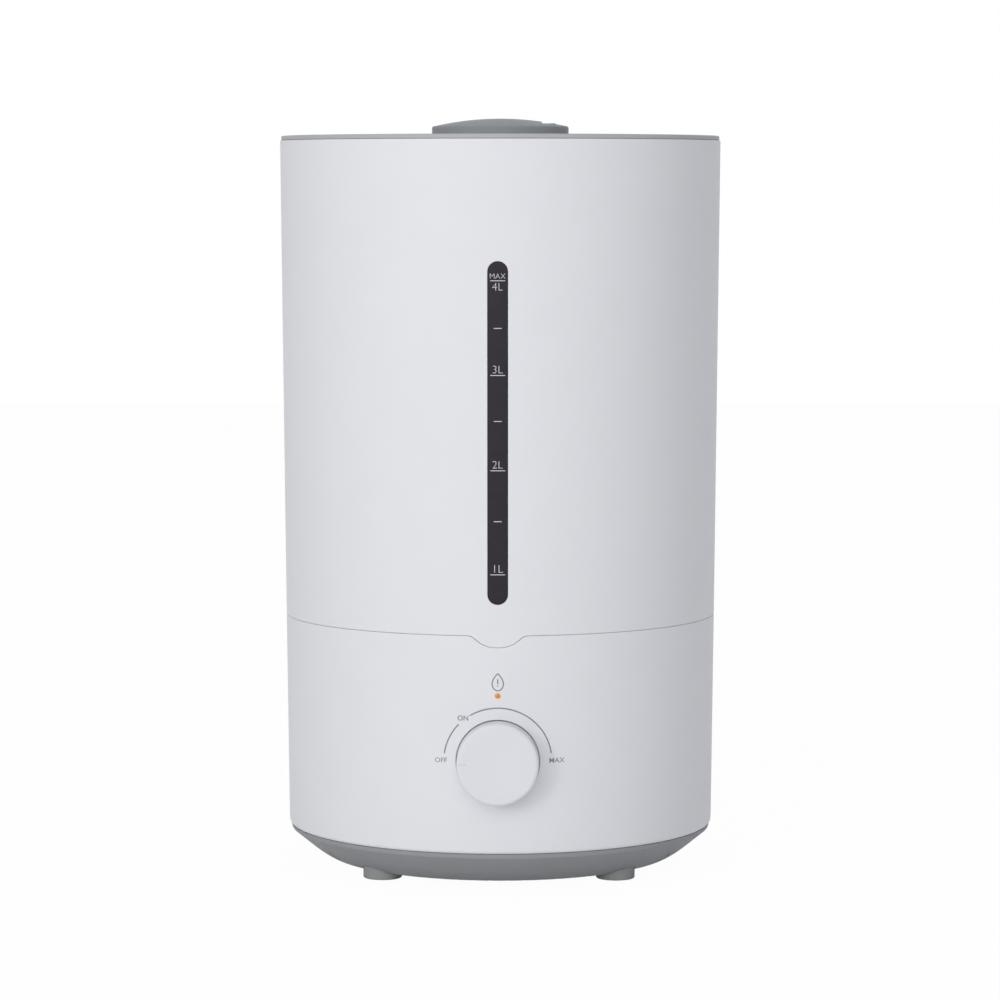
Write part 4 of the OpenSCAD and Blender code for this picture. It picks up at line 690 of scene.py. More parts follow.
def makeWindowPane():
    glass = Shape()
    spots = [(x, 124 + 5.0 * i) for i in range(28) for x in (-2.2, 0, 2.2)]
    behind = body["tankWall"] + 0.05
    back = body["tankWall"] + pane["flangeBack"]

    def outline(grown):
        trim = 2 * pane["gap"]
        return slotLoop(window["width"] - trim, window["height"] - trim, (0, window["middle"]), grown)

    flat, triangles = fillSheet(outline(-pane["edge"]), (), spots)
    glass.add(laidLoop(flat, tankRadius, window["recess"]), triangles)
    rings = []
    for left, gone in edgeSteps():
        depth = window["recess"] + pane["edge"] * gone
        rings.append(laidLoop(outline(-pane["edge"] * left), tankRadius, depth))
    for grown, depth in ((0, behind), (pane["flange"], behind), (pane["flange"], back)):
        rings.append(laidLoop(outline(grown), tankRadius, depth))
    glass.addRings(rings)
    flat, triangles = fillSheet(outline(pane["flange"]), (), spots)
    glass.add(laidLoop(flat, tankRadius, back), triangles)
    return addPiece("windowPane", glass, "smokeWindow", "tank", ["water_window"])


makeWindowPane()
print("built the tank wall and its window")

# base wall with the tab's notch, the dial's recess and the holes for the lamp and the gland
dial = {"height": 56.0, "recessRadius": 17.45, "recessPlane": -89.53, "bore": 4.2, "cup": 19.85, "edge": 0.25}
lampHole = {"height": 83.5, "radius": 1.05, "edge": 0.3, "depth": 2.0}
gland = {"height": 33.0, "seatRadius": 7.65, "boreRadius": 5.4, "seatPlane": 91.58, "edge": 0.2}
housing = {
    "foot": 17.0,
    "rows": [22.0, 34, 46, 58, 70, 80, 92.5],
    "high": 98,
    "innerTop": 80.0,
    "ledgeTop": 88.0,
    "ledgeLow": 85.0,
    "ledgeFoot": 82.0,
    "ledgeWidth": 6,
    "frontHalfTurn": 15.0,
    "backTurn": -174.0,
}
posts = {
    "bore": 1.5,
    "radius": 4.1,
    "panRing": 80.0,
    "panTurns": (30, 150, 210, 330),
    "panHeights": (16.2, 34),
    "basinRing": 80.7,
    "basinTurns": (45, 135, 225, 315),
    "basinHeights": (78.0, 89.0),
}


def innerBaseRadius(z):
    return baseRadius(z) - body["baseWall"]


def baseOutline(a):
    x = body["seamRadius"] * math.sin(math.radians(a))
    notch = tabDrop(x * 0.985) if abs(a) < tab["halfTurn"] else 0
    top = body["seam"] - body["seamGap"] / 2 - notch
    foot, bottom, innerTop = housing["foot"], housing["rows"][0], housing["innerTop"]
    ledgeTop, ledgeFoot = housing["ledgeTop"], housing["ledgeFoot"]
    ledgeRadius = innerBaseRadius(ledgeTop) - housing["ledgeWidth"]
    return rounded(
        [(baseRadius(foot) - 0.1, foot, 1.7)]
        + [(baseRadius(z), z) for z in housing["rows"]]
        + [
            (baseRadius(housing["high"]), housing["high"]),
            (baseRadius(top), top, body["edge"]),
            (innerBaseRadius(top), top, 0.25),
            (innerBaseRadius(ledgeTop), ledgeTop),
            (ledgeRadius, ledgeTop, 0.3),
            (ledgeRadius, housing["ledgeLow"]),
            (innerBaseRadius(ledgeFoot), ledgeFoot),
            (innerBaseRadius(innerTop), innerTop),
            (innerBaseRadius(bottom), bottom),
            (innerBaseRadius(foot), foot, 0.3),
        ],
        6,
    )


# the recess and the lamp's hole, in the patch left open at the front
def addBaseFront(wall, innerRows):
    half = housing["frontHalfTurn"]
    middle = (0, dial["height"])
    hubPlane = dial["recessPlane"] + body["baseWall"]

    def recess(grown):
        return circleLoop(dial["recessRadius"] + grown, middle, 96)

    def hole(grown):
        return circleLoop(lampHole["radius"] + grown, (0, lampHole["height"]), 24)

    spots = [(x, z) for x in (-20.5, -12, 0, 12, 20.5) for z in (30, 38, 74, 79, 88)]
    rim = patchRim(baseRadius, housing["rows"], -half, half)
    flat, triangles = fillSheet(rim, [recess(dial["edge"]), hole(lampHole["edge"])], spots)
    wall.add(laidLoop(flat, baseRadius), triangles)
    rings = softEdge(recess, baseRadius, dial["edge"])
    for radius, plane in (
        (dial["recessRadius"], dial["recessPlane"]),
        (dial["bore"], dial["recessPlane"]),
        (dial["bore"], hubPlane),
        (dial["cup"], hubPlane),
    ):
        rings.append([(x, plane, z) for x, z in circleLoop(radius, middle, 96)])
    cup = circleLoop(dial["cup"], middle, 96)
    rings.append(laidLoop(cup, innerBaseRadius))
    wall.addRings(rings)
    flat, triangles = fillSheet(patchRim(innerBaseRadius, innerRows, -half, half), [cup])
    wall.add(laidLoop(flat, innerBaseRadius), triangles)
    rings = softEdge(hole, baseRadius, lampHole["edge"])
    rings.append(laidLoop(hole(0), baseRadius, lampHole["depth"]))
    rings.append([onWall(0, lampHole["height"], baseRadius, lampHole["depth"])] * 24)
    wall.addRings(rings)


# the gland's seat and bore, in the patch left open at the back
def addBaseBack(wall, innerRows):
    sines = {round(math.sin(math.radians(a)), 9) for a in turns if a <= housing["backTurn"] + 0.001}
    across = sorted(sines | {-share for share in sines})

    def rim(radius, heights):
        loop = [(radius(heights[0]) * x, heights[0]) for x in across]
        loop += [(radius(z) * across[-1], z) for z in heights[1:-1]]
        loop += [(radius(heights[-1]) * x, heights[-1]) for x in reversed(across)]
        return loop + [(radius(z) * across[0], z) for z in reversed(heights[1:-1])]

    def seat(grown):
        return circleLoop(gland["seatRadius"] + grown, (0, gland["height"]), 48)

    bore = circleLoop(gland["boreRadius"], (0, gland["height"]), 48)
    flat, triangles = fillSheet(rim(baseRadius, housing["rows"][:3]), [seat(gland["edge"])])
    wall.add(laidLoop(flat, baseRadius, 0, 1), triangles)
    rings = softEdge(seat, baseRadius, gland["edge"], side=1)
    rings += [[(x, gland["seatPlane"], z) for x, z in loop] for loop in (seat(0), bore)]
    rings.append(laidLoop(bore, innerBaseRadius, 0, 1))
    wall.addRings(rings)
    flat, triangles = fillSheet(rim(innerBaseRadius, innerRows), [bore])
    wall.add(laidLoop(flat, innerBaseRadius, 0, 1), triangles)


def makeBaseWall():
    wall = Shape()
    rows = housing["rows"]
    innerRows = [rows[0], housing["innerTop"]]
    outlines = [baseOutline(a) for a in turns]
    front = outlines[turns.index(0.0)]
    half, backTurn = housing["frontHalfTurn"], housing["backTurn"]
    frontColumns = [i for i, a in enumerate(turns) if -half - 0.001 <= a < half - 0.001]
    backColumns = [i for i, a in enumerate(turns) if a < backTurn - 0.001 or a >= -backTurn - 0.001]
    skipped = set()
    for columns, outerRows in ((frontColumns, rows), (backColumns, rows[:3])):
        for radius, heights in ((baseRadius, outerRows), (innerBaseRadius, innerRows)):
            span = sorted(rowIndex(front, z, radius) for z in (heights[0], heights[-1]))
            skipped |= {(k, i) for k in range(*span) for i in columns}
    wall.addRings([columnRing(outlines, k) for k in range(len(front))], True, skipped)
    addBaseFront(wall, innerRows)
    addBaseBack(wall, innerRows)
    bore, radius = posts["bore"], posts["radius"]
    low, high = posts["panHeights"]
    for place in ringSpots(posts["panRing"], posts["panTurns"]):
        wall.addTurned(rounded([(bore, low), (radius, low), (radius, high, 0.6), (bore, high)], 3), 28, place)
    low, high = posts["basinHeights"]
    for place in ringSpots(posts["basinRing"], posts["basinTurns"]):
        wall.addTurned(rounded([(bore, low), (radius, low, 0.6), (radius, high), (bore, high)], 3), 28, place)
    return addPiece("baseWall", wall, "whiteShell", "base", ["base_housing"])


makeBaseWall()
print("built the base wall")

# dial knob; the hollow behind it is an outline of (radius, depth from its back edge)
knob = {
    "radius": 17.0,
    "back": -89.98,
    "face": -102.43,
    "edge": 1.25,
    "edgeTurn": 50,
    "dish": 0.4,
    "pointer": (12.75, 15.8),
    "pointerWidth": 0.6,
    "pointerEdge": 0.12,
    "pointerDepth": 0.34,
    "hollow": [
        (14.8, 0.0), (14.8, 8.6), (13.8, 9.6), (4.2, 9.6),
        (4.2, 1.0), (3.1, 1.0), (3.1, 9.0), (0.0, 9.0),
    ],
}


def makeKnob():
    grip = Shape()
    tall = knob["back"] - knob["face"]
    flatRadius = knob["radius"] - knob["edge"]

    def faceHeight(r):
        fall = max(0.0, r - flatRadius)
        drop = knob["edge"] - math.sqrt(knob["edge"] ** 2 - fall**2)
        return tall - knob["dish"] * (1 - min(1.0, r / flatRadius) ** 2) ** 2 - drop

    def onFace(x, z, depth=0.0):
        return (x, knob["back"] - faceHeight(math.hypot(x, z)) + depth, dial["height"] + z)

    rimFall = knob["edge"] * math.sin(math.radians(knob["edgeTurn"]))
    rimRadius = flatRadius + rimFall
    inner, outer = knob["pointer"]
    deep, soft = knob["pointerDepth"], knob["pointerEdge"]
    sheetRings = [(3, 10), (6, 20), (9, 30), (12, 48), (14, 64)]
    sheetRings += [(r, 96) for r in (15.2, 15.72, 16.1, 16.4)]

    def groove(grown):
        loop = slotLoop(knob["pointerWidth"], outer - inner, (0, 0), grown, 8, 0.6)
        return [(-(inner + outer) / 2 + z, -x) for x, z in loop]

    spots = [(0.0, 0.0)]
    for r, count in sheetRings:
        spots += circleLoop(r, (0, 0), count)
    flat, triangles = fillSheet(circleLoop(rimRadius, (0, 0), 128), [groove(soft)], spots)
    grip.add([onFace(x, z) for x, z in flat], triangles)
    rings = []
    for grown, depth in ((soft, 0.0), (0, 0.1), (0, deep)):
        rings.append([onFace(x, z, depth) for x, z in groove(grown)])
    rings.append([onFace(-(inner + outer) / 2, 0, deep)] * len(rings[0]))
    grip.addRings(rings)
    outline = []
    for k in range(9):
        a = math.radians(knob["edgeTurn"] + (90 - knob["edgeTurn"]) * k / 8)
        outline.append((flatRadius + knob["edge"] * math.sin(a), tall - knob["edge"] * (1 - math.cos(a))))
    outline += [(knob["radius"], 0.4), (knob["radius"] - 0.12, 0.12), (knob["radius"] - 0.4, 0.0)]
    outline += knob["hollow"]
    grip.addFacing([(r, knob["back"] - h) for r, h in outline], dial["height"], 128)
    return addPiece("dialKnob", grip, "knobWhite", "dial", ["control_knob"], 40)


makeKnob()
print("built the dial knob")

lid = {
    "radius": 94.5,
    "low": 312.9,
    "top": 314.8,
    "skirt": 91.95,
    "skirtLow": 301.0,
    "wall": 1.8,
    "dish": 0.4,
    "dishRadius": 89.0,
    "dishInner": (34.0, 32.6),
    "capCollar": (25.24, 23.4),
    "capCollarHeight": 2.2,
    "tube": (19.8, 21.6),
}


def makeLid():
    cover = Shape()
    seal = nodeCentre("lid_seal").z
    low, top, skirt, dishRadius = lid["low"], lid["top"], lid["skirt"], lid["dishRadius"]
    dishOuter, dishInner = lid["dishInner"]
    collarOuter, collarInner = lid["capCollar"]
    collarTop = top + lid["capCollarHeight"]
    tubeInner, tubeOuter = lid["tube"]
    outline = rounded(
        [
            (skirt - lid["wall"], lid["skirtLow"]),
            (skirt, lid["skirtLow"], 0.4),
            (skirt, seal - 1),
            (skirt - 0.6, seal - 1),
            (skirt - 0.6, seal + 1),
            (skirt, seal + 1),
            (skirt, low + 0.1),
            (lid["radius"], low, 0.25),
            (lid["radius"], top, 0.65),
            (dishRadius + 0.9, top, 0.8),
            (dishRadius, top - lid["dish"], 0.8),
            (dishOuter, top - lid["dish"], 1.2),
            (dishInner, top, 1.0),
            (collarOuter, top),
            (collarOuter, collarTop, 0.3),
            (collarInner, collarTop, 0.3),
            (collarInner, top),
            (tubeInner, top, 0.4),
            (tubeInner, lid["skirtLow"], 0.3),
            (tubeOuter, lid["skirtLow"], 0.3),
            (tubeOuter, low, 0.8),
            (skirt - lid["wall"], low, 1.0),
        ],
        5,
    )
    cover.addTurned(outline, 256)
    return addPiece("lidCover", cover, "lidGrey", "lid", ["tank_lid"])


makeLid()
# turning nozzle with its lowered deck and mist slot
cap = {
    "radius": 29.5,
    "low": 315.2,
    "shoulder": 318.8,
    "top": 322.3,
    "shoulderEdge": 1.0,
    "wall": 1.8,
    "mouth": 25.3,
    "mouthRise": 1.4,
    "sheetMargin": 1.3,
    "steps": 144,
}
deck = {"edge": 18.0, "step": 0.9, "slotWidth": 4.8, "slotLength": 21.0, "slotGap": 0.7, "slotEdge": 0.3}


def makeNozzle():
    nozzle = Shape()
    rise = cap["top"] - cap["shoulder"]
    ball = (cap["radius"] ** 2 + rise**2) / (2 * rise)

    def domeHeight(r):
        return cap["top"] - ball + math.sqrt(ball**2 - r * r)

    deckHeight = domeHeight(deck["edge"]) - deck["step"]
    deckRadius = math.sqrt(ball**2 - (deckHeight - cap["top"] + ball) ** 2)
    sheetRadius = cap["radius"] - cap["sheetMargin"]
    reach = math.sqrt(deckRadius**2 - deck["edge"] ** 2)
    turnEnd = math.atan2(reach, deck["edge"])
    arcTurns = [turnEnd * t / 20 for t in range(-19, 20)]
    arc = [(deckRadius * math.cos(a), deckRadius * math.sin(a)) for a in arcTurns]
    chord = [reach * (1 - t / 12) for t in range(25)]
    slotMiddle = deck["edge"] + deck["slotGap"] + deck["slotWidth"] / 2

    def slotHole(grown):
        return slotLoop(deck["slotWidth"], deck["slotLength"], (slotMiddle, 0), grown, 12, 2.0)

    def bevelOf(y):
        return min(0.22, 0.35 * (domeHeight(math.hypot(deck["edge"], y)) - deckHeight))

    edgeLoop = [(deck["edge"] - bevelOf(y), y) for y in chord]
    sheetRings = [(2, 8), (5, 16), (8, 24), (11, 32), (14, 40), (17, 48), (20, 60), (23, 72), (26, 84)]
    sheetRings.append((27.4, 96))
    spots = []
    for r, count in sheetRings:
        spots += [(x, y) for x, y in circleLoop(r, (0, 0), count) if not (x > 17 and r < deckRadius + 0.5)]
    flat, triangles = fillSheet(circleLoop(sheetRadius, (0, 0), cap["steps"]), [arc + edgeLoop], spots)
    nozzle.add([(x, y, domeHeight(math.hypot(x, y))) for x, y in flat], triangles)
    flat, triangles = fillSheet(arc + [(deck["edge"], y) for y in chord], [slotHole(deck["slotEdge"])])
    nozzle.add([(x, y, deckHeight) for x, y in flat], triangles)
    step = []
    for left, gone in edgeSteps():
        row = []
        for y in chord:
            soft = bevelOf(y)
            high = domeHeight(math.hypot(deck["edge"] - soft, y))
            row.append((deck["edge"] - soft * left, y, high - soft * gone))
        step.append(row)
    step.append([(deck["edge"], y, deckHeight) for y in chord])
    count = len(chord)
    quads = []
    for k in range(4):
        for i in range(k * count, k * count + count - 1):
            quads.append((i, i + 1, i + count + 1, i + count))
    nozzle.add([point for row in step for point in row], quads)
    under = cap["wall"] + 0.2
    rings = []
    for left, gone in edgeSteps():
        z = deckHeight - deck["slotEdge"] * gone
        rings.append([(x, y, z) for x, y in slotHole(deck["slotEdge"] * left)])
    rings.append([(x, y, deckHeight - under) for x, y in slotHole(0)])
    nozzle.addRings(rings)
    inner = cap["radius"] - cap["wall"]
    mouth, mouthLow = cap["mouth"], cap["low"] + cap["mouthRise"]
    outline = rounded(
        [
            (sheetRadius - 4, domeHeight(sheetRadius - 4)),
            (cap["radius"], cap["shoulder"] + 0.12, cap["shoulderEdge"]),
            (cap["radius"], cap["low"], 0.25),
            (inner, cap["low"], 0.2),
            (inner, mouthLow),
            (mouth, mouthLow),
        ],
        6,
    )
    rim = [(sheetRadius, domeHeight(sheetRadius))] + outline[1:]
    nozzle.addTurned(rim, cap["steps"], closed=False)

    def innerHeight(r):
        return min(domeHeight(r), deckHeight + 0.4) - under

    flat, triangles = fillSheet(circleLoop(mouth, (0, 0), cap["steps"]), [slotHole(0)])
    nozzle.add([(x, y, innerHeight(math.hypot(x, y))) for x, y in flat], triangles)
    nozzle.addTurned([(mouth, mouthLow), (mouth, innerHeight(mouth))], cap["steps"], closed=False)
    return addPiece("nozzleCap", nozzle, "capGrey", "nozzle", ["nozzle_cap"], 38)


makeNozzle()
print("built the lid and the nozzle")

# pan under the base, with foot wells, screw wells and the air slots
pan = {
    "low": 2.6,
    "wall": 2.4,
    "lip": [(91.35, 17.0), (91.1, 16.1), (90.85, 15.25), (90.75, 15.1), (90.55, 14.92)],
    "slope": 39.2,
    "bendUp": 10.4,
    "bendIn": 3.6,
    "footRing": 70.0,
    "footTurns": (45, 135, 225, 315),
    "footRadius": 8.4,
    "footWell": 6.9,
    "footBoss": 9.2,
    "screwRadius": 3.4,
    "screwWell": 13.0,
    "screwBoss": 16.0,
    "bossWall": 1.6,
    "soft": 0.35,
    "slotWidth": 3.0,
    "slotPitch": 5.2,
    "slotReach": 23.2,
    "inside": 87.2,
    "upstand": (89.45, 22.0),
    "steps": 192,
}


def panOutline():
    slope = Vector((math.cos(math.radians(pan["slope"])), math.sin(math.radians(pan["slope"]))))
    top = Vector(pan["lip"][-1])
    corner = top - slope * ((top.y - pan["low"]) / slope.y)
    first = corner + slope * pan["bendUp"]
    last = corner - Vector((pan["bendIn"], 0))
    shares = [i / 10 for i in range(11)]
    bend = [first * (1 - t) ** 2 + corner * 2 * t * (1 - t) + last * t * t for t in shares]
    return [top, top.lerp(first, 0.5), *bend, Vector((0, pan["low"]))]


panSide = panOutline()


def panHeight(r):
    for a, b in zip(panSide, panSide[1:]):
        if b.x <= r <= a.x + 0.001:
            return b.y + (a.y - b.y) * (r - b.x) / max(0.0001, a.x - b.x)
    return panSide[0].y


def makePan():
    tray = Shape()
    fanX = nodeCentre("fan_impeller").x
    feet = ringSpots(pan["footRing"], pan["footTurns"])
    screws = ringSpots(posts["panRing"], posts["panTurns"])
    slots = []
    for i in range(-4, 5):
        half = math.sqrt(max(0, pan["slotReach"] ** 2 - (abs(i) * pan["slotPitch"] + 1.5) ** 2))
        slots.append((fanX + i * pan["slotPitch"], 2 * half))

    def slotHole(slot, grown):
        return slotLoop(pan["slotWidth"], max(slot[1], 3.2), (slot[0], 0), grown, 8, 5.0)

    soft = pan["soft"]
    holes = [circleLoop(pan["footRadius"] + soft, place, 48) for place in feet]
    holes += [circleLoop(pan["screwRadius"] + soft, place, 32) for place in screws]
    holes += [slotHole(slot, soft) for slot in slots]
    rimLoop = circleLoop(panSide[0].x, (0, 0), pan["steps"])
    spots = [(0.0, 0.0)]
    for point in panSide[1:-1]:
        spots += circleLoop(point.x, (0, 0), 192 if point.x > 72 else 128)
    for r, count in ((60, 96), (48, 72), (36, 54), (24, 36), (12, 18)):
        spots += circleLoop(r, (0, 0), count)
    flat, triangles = fillSheet(rimLoop, holes, spots)
    tray.add([(x, y, panHeight(math.hypot(x, y))) for x, y in flat], triangles)

    def well(radius, place, ceiling, steps):
        rings = []
        for left, gone in edgeSteps():
            loop = circleLoop(radius + soft * left, place, steps)
            rings.append([(x, y, panHeight(math.hypot(x, y)) + soft * gone) for x, y in loop])
        rings.append([(x, y, ceiling) for x, y in circleLoop(radius, place, steps)])
        rings.append([(place[0], place[1], ceiling)] * steps)
        tray.addRings(rings)

    for place in feet:
        well(pan["footRadius"], place, pan["footWell"], 48)
    for place in screws:
        well(pan["screwRadius"], place, pan["screwWell"], 32)
    for slot in slots:
        rings = []
        for left, gone in edgeSteps():
            rings.append([(x, y, pan["low"] + soft * gone) for x, y in slotHole(slot, soft * left)])
        rings.append([(x, y, pan["low"] + pan["wall"]) for x, y in slotHole(slot, 0)])
        tray.addRings(rings)

    def innerHeight(r):
        return panHeight(r + 1.4) + pan["wall"]

    inside = pan["inside"]
    innerSpots = [spot for spot in spots if math.hypot(*spot) < inside - 0.7]
    bosses = [(pan["footRadius"] + pan["bossWall"], feet, pan["footBoss"], 48)]
    bosses.append((pan["screwRadius"] + pan["bossWall"], screws, pan["screwBoss"], 32))
    innerHoles = []
    for radius, places, top, steps in bosses:
        innerHoles += [circleLoop(radius, place, steps) for place in places]
    innerHoles += [slotHole(slot, 0) for slot in slots]
    flat, triangles = fillSheet(circleLoop(inside, (0, 0), pan["steps"]), innerHoles, innerSpots)
    tray.add([(x, y, innerHeight(math.hypot(x, y))) for x, y in flat], triangles)
    for radius, places, top, steps in bosses:
        for place in places:
            loop = circleLoop(radius, place, steps)
            tray.addRings([
                [(x, y, innerHeight(math.hypot(x, y))) for x, y in loop],
                [(x, y, max(top, innerHeight(math.hypot(x, y)) + 0.2)) for x, y in loop],
                [(place[0], place[1], top)] * steps,
            ])
    edge = pan["lip"][0]
    outer, high = pan["upstand"]
    upstand = rounded([edge, (outer, edge[1]), (outer, high, 0.4), (inside, high, 0.4), (inside, 19.0)], 3)
    rim = pan["lip"][::-1] + upstand[1:] + [(inside, innerHeight(inside))]
    tray.addTurned(rim, pan["steps"], closed=False)
    return addPiece("basePan", tray, "greyPan", "base", ["base_pan"], 30)


makePan()
print("built the pan")

strokeInputs = ("Stroke Width", "Ink Thickness", "Step", "Radius At Floor", "Radius Slope", "Depth", "Axis Y")


# printed marks, drawn flat as strokes and laid on the wall by one node tree
def makeStrokeTree():
    tree = bpy.data.node_groups.new("printStroke", "GeometryNodeTree")
    link = tree.links.new
    face = tree.interface
    face.new_socket("Path", in_out="INPUT", socket_type="NodeSocketGeometry")
    for label in strokeInputs:
        face.new_socket(label, in_out="INPUT", socket_type="NodeSocketFloat")
    face.new_socket("Ink", in_out="INPUT", socket_type="NodeSocketMaterial")
    face.new_socket("Print", in_out="OUTPUT", socket_type="NodeSocketGeometry")
    start, end = tree.nodes.new("NodeGroupInput"), tree.nodes.new("NodeGroupOutput")

    def maths(operation, first, second=None, third=None):
        node = addNode(tree, "ShaderNodeMath", {"operation": operation})
        for socket, value in zip(node.inputs, (first, second, third)):
            if isinstance(value, bpy.types.NodeSocket):
                link(value, socket)
            elif value is not None:
                socket.default_value = value
        return node.outputs[0]

    path = tree.nodes.new("GeometryNodeMeshToCurve")
    evenly = addNode(tree, "GeometryNodeResampleCurve", {"mode": "LENGTH"})
    upright = addNode(tree, "GeometryNodeSetCurveNormal", {"mode": "Z_UP"})
    nib = addNode(tree, "GeometryNodeCurvePrimitiveQuadrilateral", {"mode": "RECTANGLE"})
    sweep = tree.nodes.new("GeometryNodeCurveToMesh")
    sweep.inputs["Fill Caps"].default_value = True
    lay = tree.nodes.new("GeometryNodeSetPosition")
    link(start.outputs["Path"], path.inputs["Mesh"])
    link(path.outputs["Curve"], evenly.inputs["Curve"])
    link(start.outputs["Step"], evenly.inputs["Length"])
    link(evenly.outputs["Curve"], upright.inputs["Curve"])
    link(upright.outputs["Curve"], sweep.inputs["Curve"])
    link(start.outputs["Stroke Width"], nib.inputs["Width"])
    link(start.outputs["Ink Thickness"], nib.inputs["Height"])
    link(nib.outputs["Curve"], sweep.inputs["Profile Curve"])
    link(sweep.outputs["Mesh"], lay.inputs["Geometry"])
    split = tree.nodes.new("ShaderNodeSeparateXYZ")
    link(tree.nodes.new("GeometryNodeInputPosition").outputs[0], split.inputs[0])
    across, up, out = split.outputs
    radius = maths("MULTIPLY_ADD", up, start.outputs["Radius Slope"], start.outputs["Radius At Floor"])
    radius = maths("SUBTRACT", maths("MULTIPLY", radius, radius), maths("MULTIPLY", across, across))
    middle = maths("SUBTRACT", start.outputs["Axis Y"], maths("SQRT", radius))
    back = maths("ADD", middle, start.outputs["Depth"])
    place = tree.nodes.new("ShaderNodeCombineXYZ")
    for value, socket in zip((across, maths("SUBTRACT", back, out), up), place.inputs):
        link(value, socket)
    link(place.outputs[0], lay.inputs["Position"])
    whole = tree.nodes.new("GeometryNodeRealizeInstances")
    paint = tree.nodes.new("GeometryNodeSetMaterial")
    link(lay.outputs["Geometry"], whole.inputs["Geometry"])
    link(whole.outputs["Geometry"], paint.inputs["Geometry"])
    link(start.outputs["Ink"], paint.inputs["Material"])
    link(paint.outputs["Geometry"], end.inputs["Print"])
    return tree


# runs a node tree on a draft mesh and returns the finished plain mesh
def grow(name, mesh, tree, settings):
    draft = bpy.data.objects.new(name + ".draft", mesh)
    bpy.context.scene.collection.objects.link(draft)
    modifier = draft.modifiers.new("tree", "NODES")
    modifier.node_group = tree
    for item in tree.interface.items_tree:
        if item.in_out == "INPUT" and item.name in settings:
            modifier[item.identifier] = settings[item.name]
    bpy.context.view_layer.update()
    finished = bpy.data.meshes.new_from_object(draft.evaluated_get(bpy.context.evaluated_depsgraph_get()))
    finished.name = name
    finished.validate()
    bpy.data.objects.remove(draft)
    return finished


strokeTree = makeStrokeTree()
ink = {"thickness": 0.05, "proud": 0.012, "step": 0.5}


# paths are lists of (x, z) with a flag that closes them
def addStrokes(name, paths, width, finish, bodyName, radius, depth=0.0):
    points, edges = [], []
    for path, closed in paths:
        first = len(points)
        points += [(x * mm, z * mm, 0) for x, z in path]
        edges += [(first + i, first + i + 1) for i in range(len(path) - 1)]
        if closed:
            edges.append((first + len(path) - 1, first))
    mesh = bpy.data.meshes.new(name + ".path")
    mesh.from_pydata(points, edges, [])
    slope = (radius(100) - radius(0)) / 100
    finished = grow(name, mesh, strokeTree, {
        "Stroke Width": width * mm,
        "Ink Thickness": ink["thickness"] * mm,
        "Step": ink["step"] * mm,
        "Radius At Floor": radius(0) * mm,
        "Radius Slope": slope,
        "Depth": (depth + ink["thickness"] / 2 - ink["proud"]) * mm,
        "Axis Y": axisY * mm,
        "Ink": materials[finish],
    })
    return placePiece(name, finished, bodyName)


# a word as a thin closed mesh, laid on the wall and centred on its place
def wordShape(words, radius, depth=0.0):
    shape = Shape()
    for text, x, z, height, thin in words:
        curve = bpy.data.curves.new("word", "FONT")
        curve.body = text
        curve.size = 1.0
        curve.align_x = "CENTER"
        curve.offset = -thin
        curve.resolution_u = 4
        curve.extrude = 0.02
        draft = bpy.data.objects.new("word.draft", curve)
        bpy.context.scene.collection.objects.link(draft)
        bpy.context.view_layer.update()
        mesh = bpy.data.meshes.new_from_object(draft.evaluated_get(bpy.context.evaluated_depsgraph_get()))
        bpy.data.objects.remove(draft)
        tops = [v.co.y for v in mesh.vertices]
        scale = height / (max(tops) - min(tops))
        middle = (max(tops) + min(tops)) / 2
        points = []
        for v in mesh.vertices:
            far = v.co.z < 0
            points.append(onWall(
                x + v.co.x * scale,
                z + (v.co.y - middle) * scale,
                radius,
                depth + (ink["thickness"] - ink["proud"] if far else -ink["proud"]),
            ))
        shape.add(points, [list(polygon.vertices) for polygon in mesh.polygons])
    return shape


gauge = {
    "lineWidth": 0.31,
    "longLine": 6.1,
    "shortLine": 3.3,
    "long": [254.8, 216.0, 176.8, 133.8],
    "short": [235.3, 197.1, 155.8],
    "textHeight": 3.1,
    "textRise": 2.45,
    "textShift": -0.1,
    "maxHeight": 2.05,
    "maxRise": 1.9,
    "topDrop": 2.4,
}


def makeGauge():
    lines = []
    for length, heights in ((gauge["longLine"], gauge["long"]), (gauge["shortLine"], gauge["short"])):
        lines += [([(-length / 2, z), (length / 2, z)], False) for z in heights]
    depth = window["recess"]
    addStrokes("litreLines", lines, gauge["lineWidth"], "whiteInk", "tank", tankRadius, depth)
    top, x, height = gauge["long"][0], gauge["textShift"], gauge["textHeight"]
    words = [("MAX", x, top + gauge["maxRise"], gauge["maxHeight"], 0.016)]
    words.append(("4L", x, top - gauge["topDrop"], height, 0.02))
    words += [(f"{3 - i}L", x, z + gauge["textRise"], height, 0.02) for i, z in enumerate(gauge["long"][1:])]
    shape = wordShape(words, tankRadius, depth)
    addPiece("litreNumbers", shape, "whiteInk", "tank")


makeGauge()

panelPrint = {
    "arcRadius": 22.4,
    "arcs": [(8.5, 121.2), (136.4, 172.0)],
    "arcWidth": 0.5,
    "words": [
        ("OFF", -23.6, 56.3, 2.1, -0.006),
        ("ON", -14.4, 74.1, 2.1, -0.006),
        ("MAX", 24.4, 56.3, 2.1, -0.006),
    ],
    "dropMiddle": 89.25,
    "dropWidth": 4.7,
    "dropHeight": 7.2,
    "dropBelly": 0.4,
    "dropStroke": 0.5,
}


